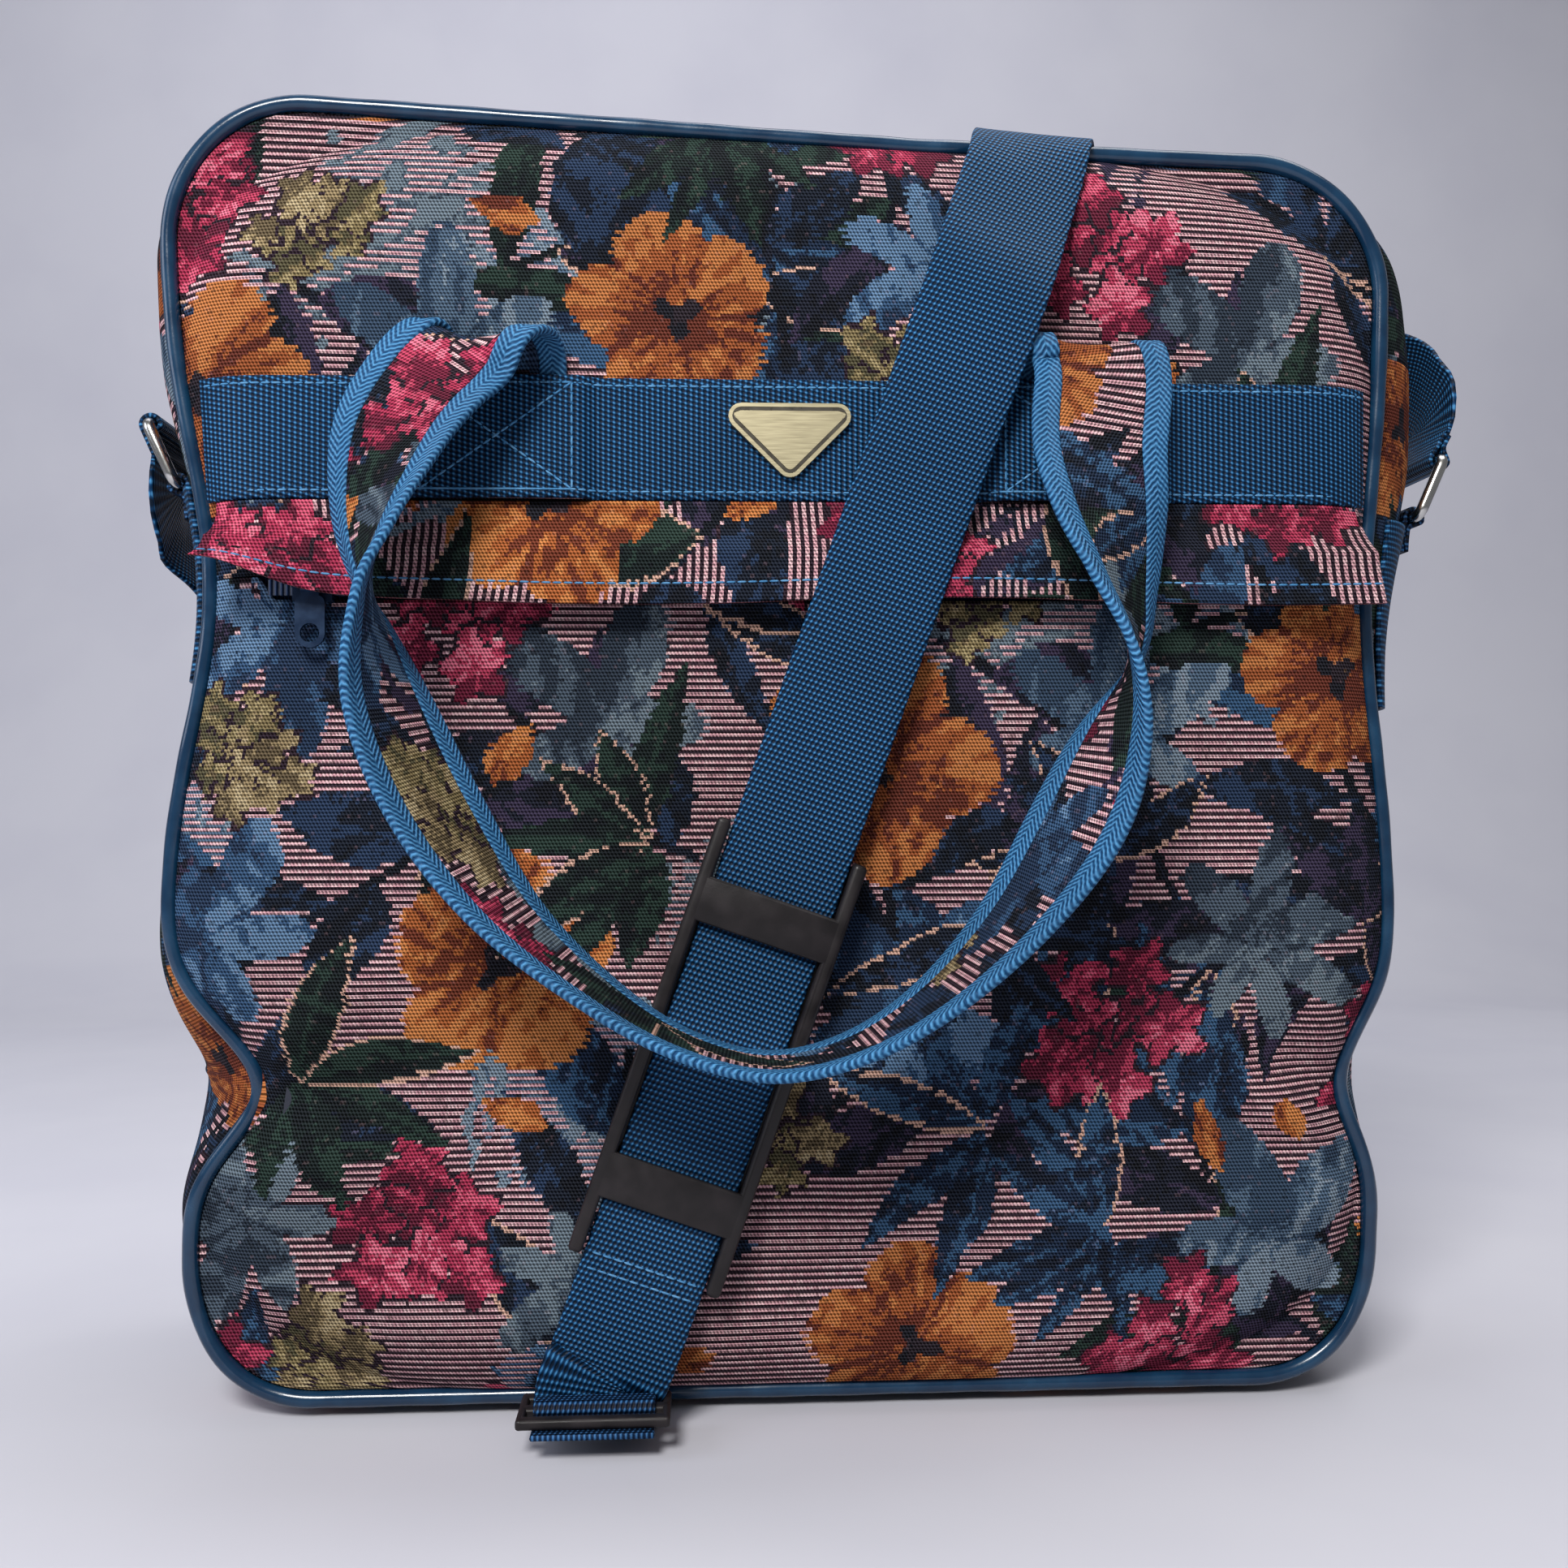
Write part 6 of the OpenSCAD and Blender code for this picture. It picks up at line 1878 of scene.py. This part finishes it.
@dataclass
class Hardware(Piece):
    """Moulded pad, strap slide, badge, zips and the hidden stiffeners."""

    tools: Workshop = field(default_factory=Workshop)
    pad_len: float = 137.0
    pad_w: float = 48.0
    pad_z: float = 114.0
    pad_plate: float = 2.6
    pad_bar: float = 14.0
    slide_z: float = 8.5
    slide_t: float = 3.2
    slide_bar: float = 4.0
    slide_end: float = 2.5
    slot_deep: float = 5.0
    badge_z: float = 304.0
    badge_top: float = 10.0
    badge_foot: float = 13.0
    badge_round: float = 4.0
    groove_in: float = 1.3
    groove_w: float = 1.0
    enamel_t: float = 0.23
    enamel_in: float = 0.12

    def pad(self) -> None:
        """Shoulder pad: two rails, a rear plate and two bars across the front."""
        inside = self.form.web_w / 2 + 0.6
        rail = self.pad_w / 2 - inside
        half_t = self.form.web_t / 2 + 0.4
        deep = 2 * (half_t + self.pad_plate)
        bar_z = self.pad_len / 2 - 25
        parts = [self.tools.block((2 * inside + rail, self.pad_plate, 2 * bar_z + self.pad_bar),
                                  (0, half_t + self.pad_plate / 2, 0), 0.8, 2)]
        for side in (-1, 1):
            parts.append(self.tools.block((rail, deep, self.pad_len), (side * (inside + rail / 2), 0, 0), 1.5, 4))
        for end in (-1, 1):
            parts.append(self.tools.block((2 * inside + rail, self.pad_plate, self.pad_bar),
                                          (0, -half_t - self.pad_plate / 2, end * bar_z), 0.9, 3))
        obj = self.tools.weld("moulded_pad", parts)
        f = self.form
        middle = Vector((f.strap_at(self.pad_z), f.strap_y, self.pad_z)) * MM
        self.tools.soften(obj, Matrix.Translation(middle) @ Matrix.Rotation(f.lean, 4, "Y"))
        self.settle(obj, self.finish.pad, "pad_plastic", "shoulder_pad", body="pad_body")

    def slide(self) -> None:
        """Strap slide at the foot: three bars between two ends, and the sewn tail round its middle bar."""
        f = self.form
        rear = f.strap_y + 0.5 + self.slot_deep / 2
        wide = f.web_w + 7
        whole = 2 * self.slot_deep + 3 * self.slide_bar
        parts = []
        for k in range(3):
            y = rear + self.slide_bar / 2 - k * (self.slot_deep + self.slide_bar)
            parts.append(self.tools.block((wide - 1, self.slide_bar, self.slide_t), (0, y, 0), 1.1, 3))
        for side in (-1, 1):
            parts.append(self.tools.block((self.slide_end, whole, self.slide_t),
                                          (side * (wide - self.slide_end) / 2, rear + self.slide_bar - whole / 2, 0),
                                          1.0, 3))
        obj = self.tools.weld("strap_slide_frame", parts)
        self.tools.soften(obj, Matrix.Translation(Vector((f.lane_x, 0, self.slide_z + self.slide_t / 2)) * MM))
        self.settle(obj, self.finish.pad, "pad_plastic", "strap_slide")
        bar = rear - self.slot_deep - self.slide_bar / 2
        top, low = self.slide_t / 2 + 1.1, -self.slide_t / 2 - 1.1
        front = -self.slide_bar / 2 - 1.1
        path = [(3.2, top), (0.5, top), (front + 1.0, top), (front, top - 1.2), (front, 0.0), (front, low + 1.2),
                (front - 1.0, low), (front - 5, low), (front - 10.2, low)]
        flat = through(np.array(path, float), 6)
        points = spread_out(f.lane_x, bar + flat[:, 0], self.slide_z + self.slide_t / 2 + flat[:, 1])
        wides = np.repeat([[1.0, 0, 0]], len(points), 0)
        tail = swept(points, wides, flat_section(f.web_w - 2, f.web_t, 10))
        # The tail under the slide is the strap's own webbing, given the darker copy as painted shade
        self.settle(tail.build("strap_tail_web"), self.finish.shaded_webbing, "webbing", "strap_tail")

    def badge_border(self) -> None:
        """Dark enamel that fills the groove round the bare badge."""
        low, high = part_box("badge")
        r = self.badge_round - self.groove_in
        bx = (high.x - low.x) / 2 / MM - self.badge_round
        hi, lo = self.badge_top - self.badge_round, self.badge_round - self.badge_foot
        slant = math.atan2(hi - lo, bx)
        tall = hi + r - (lo - r / math.cos(slant))
        bpy.ops.object.select_all(action="DESELECT")
        bpy.ops.mesh.primitive_circle_add(vertices=3, radius=1, fill_type="NGON")
        obj = bpy.context.object
        obj.name = obj.data.name = "badge_enamel"
        edit_all()
        bpy.ops.transform.rotate(value=math.pi, orient_axis="Z", center_override=(0, 0, 0))
        bpy.ops.transform.resize(value=(tall / math.tan(slant) / math.sin(math.pi / 3) * MM, tall / 1.5 * MM, 1),
                                 center_override=(0, 0, 0))
        bpy.ops.transform.translate(value=(0, (hi + r - tall / 3) * MM, 0))
        for top, reach in ((True, r / math.tan(slant / 2)), (False, r * math.tan(slant))):
            self.tools.pick_points(obj, lambda at: (at.y > (hi - 0.1) * MM) if top else (at.y < (lo + 0.1) * MM))
            bpy.ops.mesh.bevel(offset=reach * MM, segments=8, affect="VERTICES")
        bpy.ops.mesh.select_all(action="SELECT")
        bpy.ops.mesh.inset(thickness=self.groove_w * MM, depth=0)
        bpy.ops.mesh.delete(type="FACE")
        bpy.ops.object.mode_set(mode="OBJECT")
        thick = obj.modifiers.new("thickness", "SOLIDIFY")
        thick.thickness, thick.offset = self.enamel_t * MM, -1
        bpy.ops.object.modifier_apply(modifier=thick.name)
        face = Vector((0, low.y + self.enamel_in * MM, self.badge_z * MM))
        place = Matrix.Translation(face) @ Matrix.Rotation(math.pi / 2, 4, "X")
        self.settle(self.tools.soften(obj, place), self.finish.enamel, "badge_metal")

    def dress_nodes(self) -> None:
        """Gives the CAD nodes whose shape is right their finishes."""
        look = self.finish
        table = {look.badge: ("badge",), look.lining: ("pocket_lining",), look.board: ("base_board",),
                 look.zip_cloth: ("pocket_zip_tape", "main_zip_tape"),
                 look.zip_coil: ("pocket_zip_coil", "main_zip_coil"),
                 look.zip_metal: ("pocket_slider", "pocket_pull", "main_slider", "main_pull")}
        for material, names in table.items():
            for name in names:
                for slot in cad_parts[name].material_slots:
                    slot.material = material
                LOG.info("%s: dressed", name)

    def build(self) -> None:
        """Makes the hardware."""
        self.pad()
        self.slide()
        self.badge_border()
        self.dress_nodes()


@dataclass
class Studio:
    """Pale floor and backdrop, soft lamps and the photograph's camera."""

    focal_px: float = 1900.0
    place: tuple = (-27.2, -546.1, 188.2)
    yaw: float = math.radians(-3.0)
    pitch: float = math.radians(0.96)
    roll: float = math.radians(0.27)
    floor_shade: str = "#C2C2CA"

    def camera(self) -> None:
        """Camera fitted to the photograph."""
        data = bpy.data.cameras.new("photo_camera")
        data.sensor_width = 36.0
        data.sensor_fit = "HORIZONTAL"
        data.lens = 36.0 * self.focal_px / PHOTO_PX
        data.clip_start = 0.01
        obj = bpy.data.objects.new("photo_camera", data)
        bpy.context.scene.collection.objects.link(obj)
        turn = (Matrix.Rotation(self.yaw, 3, "Z") @ Matrix.Rotation(self.pitch, 3, "X")
                @ Matrix.Rotation(self.roll, 3, "Y"))
        right, ahead, up = turn.col[0], turn.col[1], turn.col[2]
        world = Matrix((right, up, -ahead)).transposed().to_4x4()
        world.translation = Vector(self.place) * MM
        obj.matrix_world = world
        bpy.context.scene.camera = obj

    def floor(self) -> None:
        """Floor that curves up into a backdrop, as one sheet."""
        turn = np.linspace(0, math.pi / 2, 16)
        y = np.concatenate([[-3.0, -1.0, 0.0, 0.5], 0.9 + 0.5 * np.sin(turn), [1.4]])
        z = np.concatenate([[0, 0, 0, 0], 0.5 - 0.5 * np.cos(turn), [3.5]])
        x = np.linspace(-3.0, 3.0, 7)
        yy, xx = np.meshgrid(y, x, indexing="ij")
        zz = np.repeat(z[:, None], len(x), 1)
        grid = np.stack([xx, yy, zz - 0.0006], -1)
        data = MeshData(grid.reshape(-1, 3) / MM, quads(*grid.shape[:2]).tolist(), grid[..., :2].reshape(-1, 2))
        obj = data.build("floor_sweep")
        finish = GrainedSurface("matt paper", self.floor_shade, 0.9, worn="#BABAC4", grain=2.0, patch=160, deep=0.02)
        obj.data.materials.append(finish.make())

    def lamp(self, name: str, place: tuple, size: float, power: float, shade: str, aim: tuple = (0, 0, 0.2)) -> None:
        """Soft area lamp.

        Args:
            name: Name of the lamp.
            place: Where it hangs.
            size: Side of its square.
            power: Its power in watts.
            shade: Its colour.
            aim: Point that it looks at.
        """
        data = bpy.data.lights.new(name, "AREA")
        data.shape, data.size, data.energy, data.color = "SQUARE", size, power, linear(shade)[:3]
        obj = bpy.data.objects.new(name, data)
        bpy.context.scene.collection.objects.link(obj)
        obj.location = place
        obj.rotation_euler = (Vector(aim) - Vector(place)).to_track_quat("-Z", "Y").to_euler()

    def build(self) -> None:
        """Sets the camera, the floor and the light."""
        self.camera()
        self.floor()
        world = bpy.data.worlds.new("studio")
        world.use_nodes = True
        world.node_tree.nodes["Background"].inputs[0].default_value = linear("#EEF0F6")
        world.node_tree.nodes["Background"].inputs[1].default_value = 0.24
        bpy.context.scene.world = world
        bpy.context.scene.view_settings.view_transform = "Standard"
        self.lamp("front_lamp", (-0.35, -1.1, 1.1), 0.4, 23.0, "#FFFDFA")
        self.lamp("left_lamp", (-1.5, -0.5, 0.9), 0.9, 9.0, "#EAF0FF")
        self.lamp("top_lamp", (0.5, 0.1, 1.7), 1.0, 11.0, "#FFFFFF")
        self.lamp("backdrop_lamp", (-0.2, 0.45, 1.5), 1.1, 5.5, "#F4F4FF", (0.0, 1.4, 0.35))


def main() -> None:
    """Builds the bag piece by piece, then the studio."""
    logging.basicConfig(level=logging.INFO, format="%(message)s")
    Studio().build()
    form, cloth, finish = BagForm(), TapestryPrint(), Finishes()
    for piece in (ShellCloth(form, finish, cloth), Piping(form, finish), BandsAndFlap(form, finish, cloth),
                  Handles(form, finish, cloth), ShoulderStrap(form, finish), Hardware(form, finish)):
        piece.build()


if __name__ == "__main__":
    main()
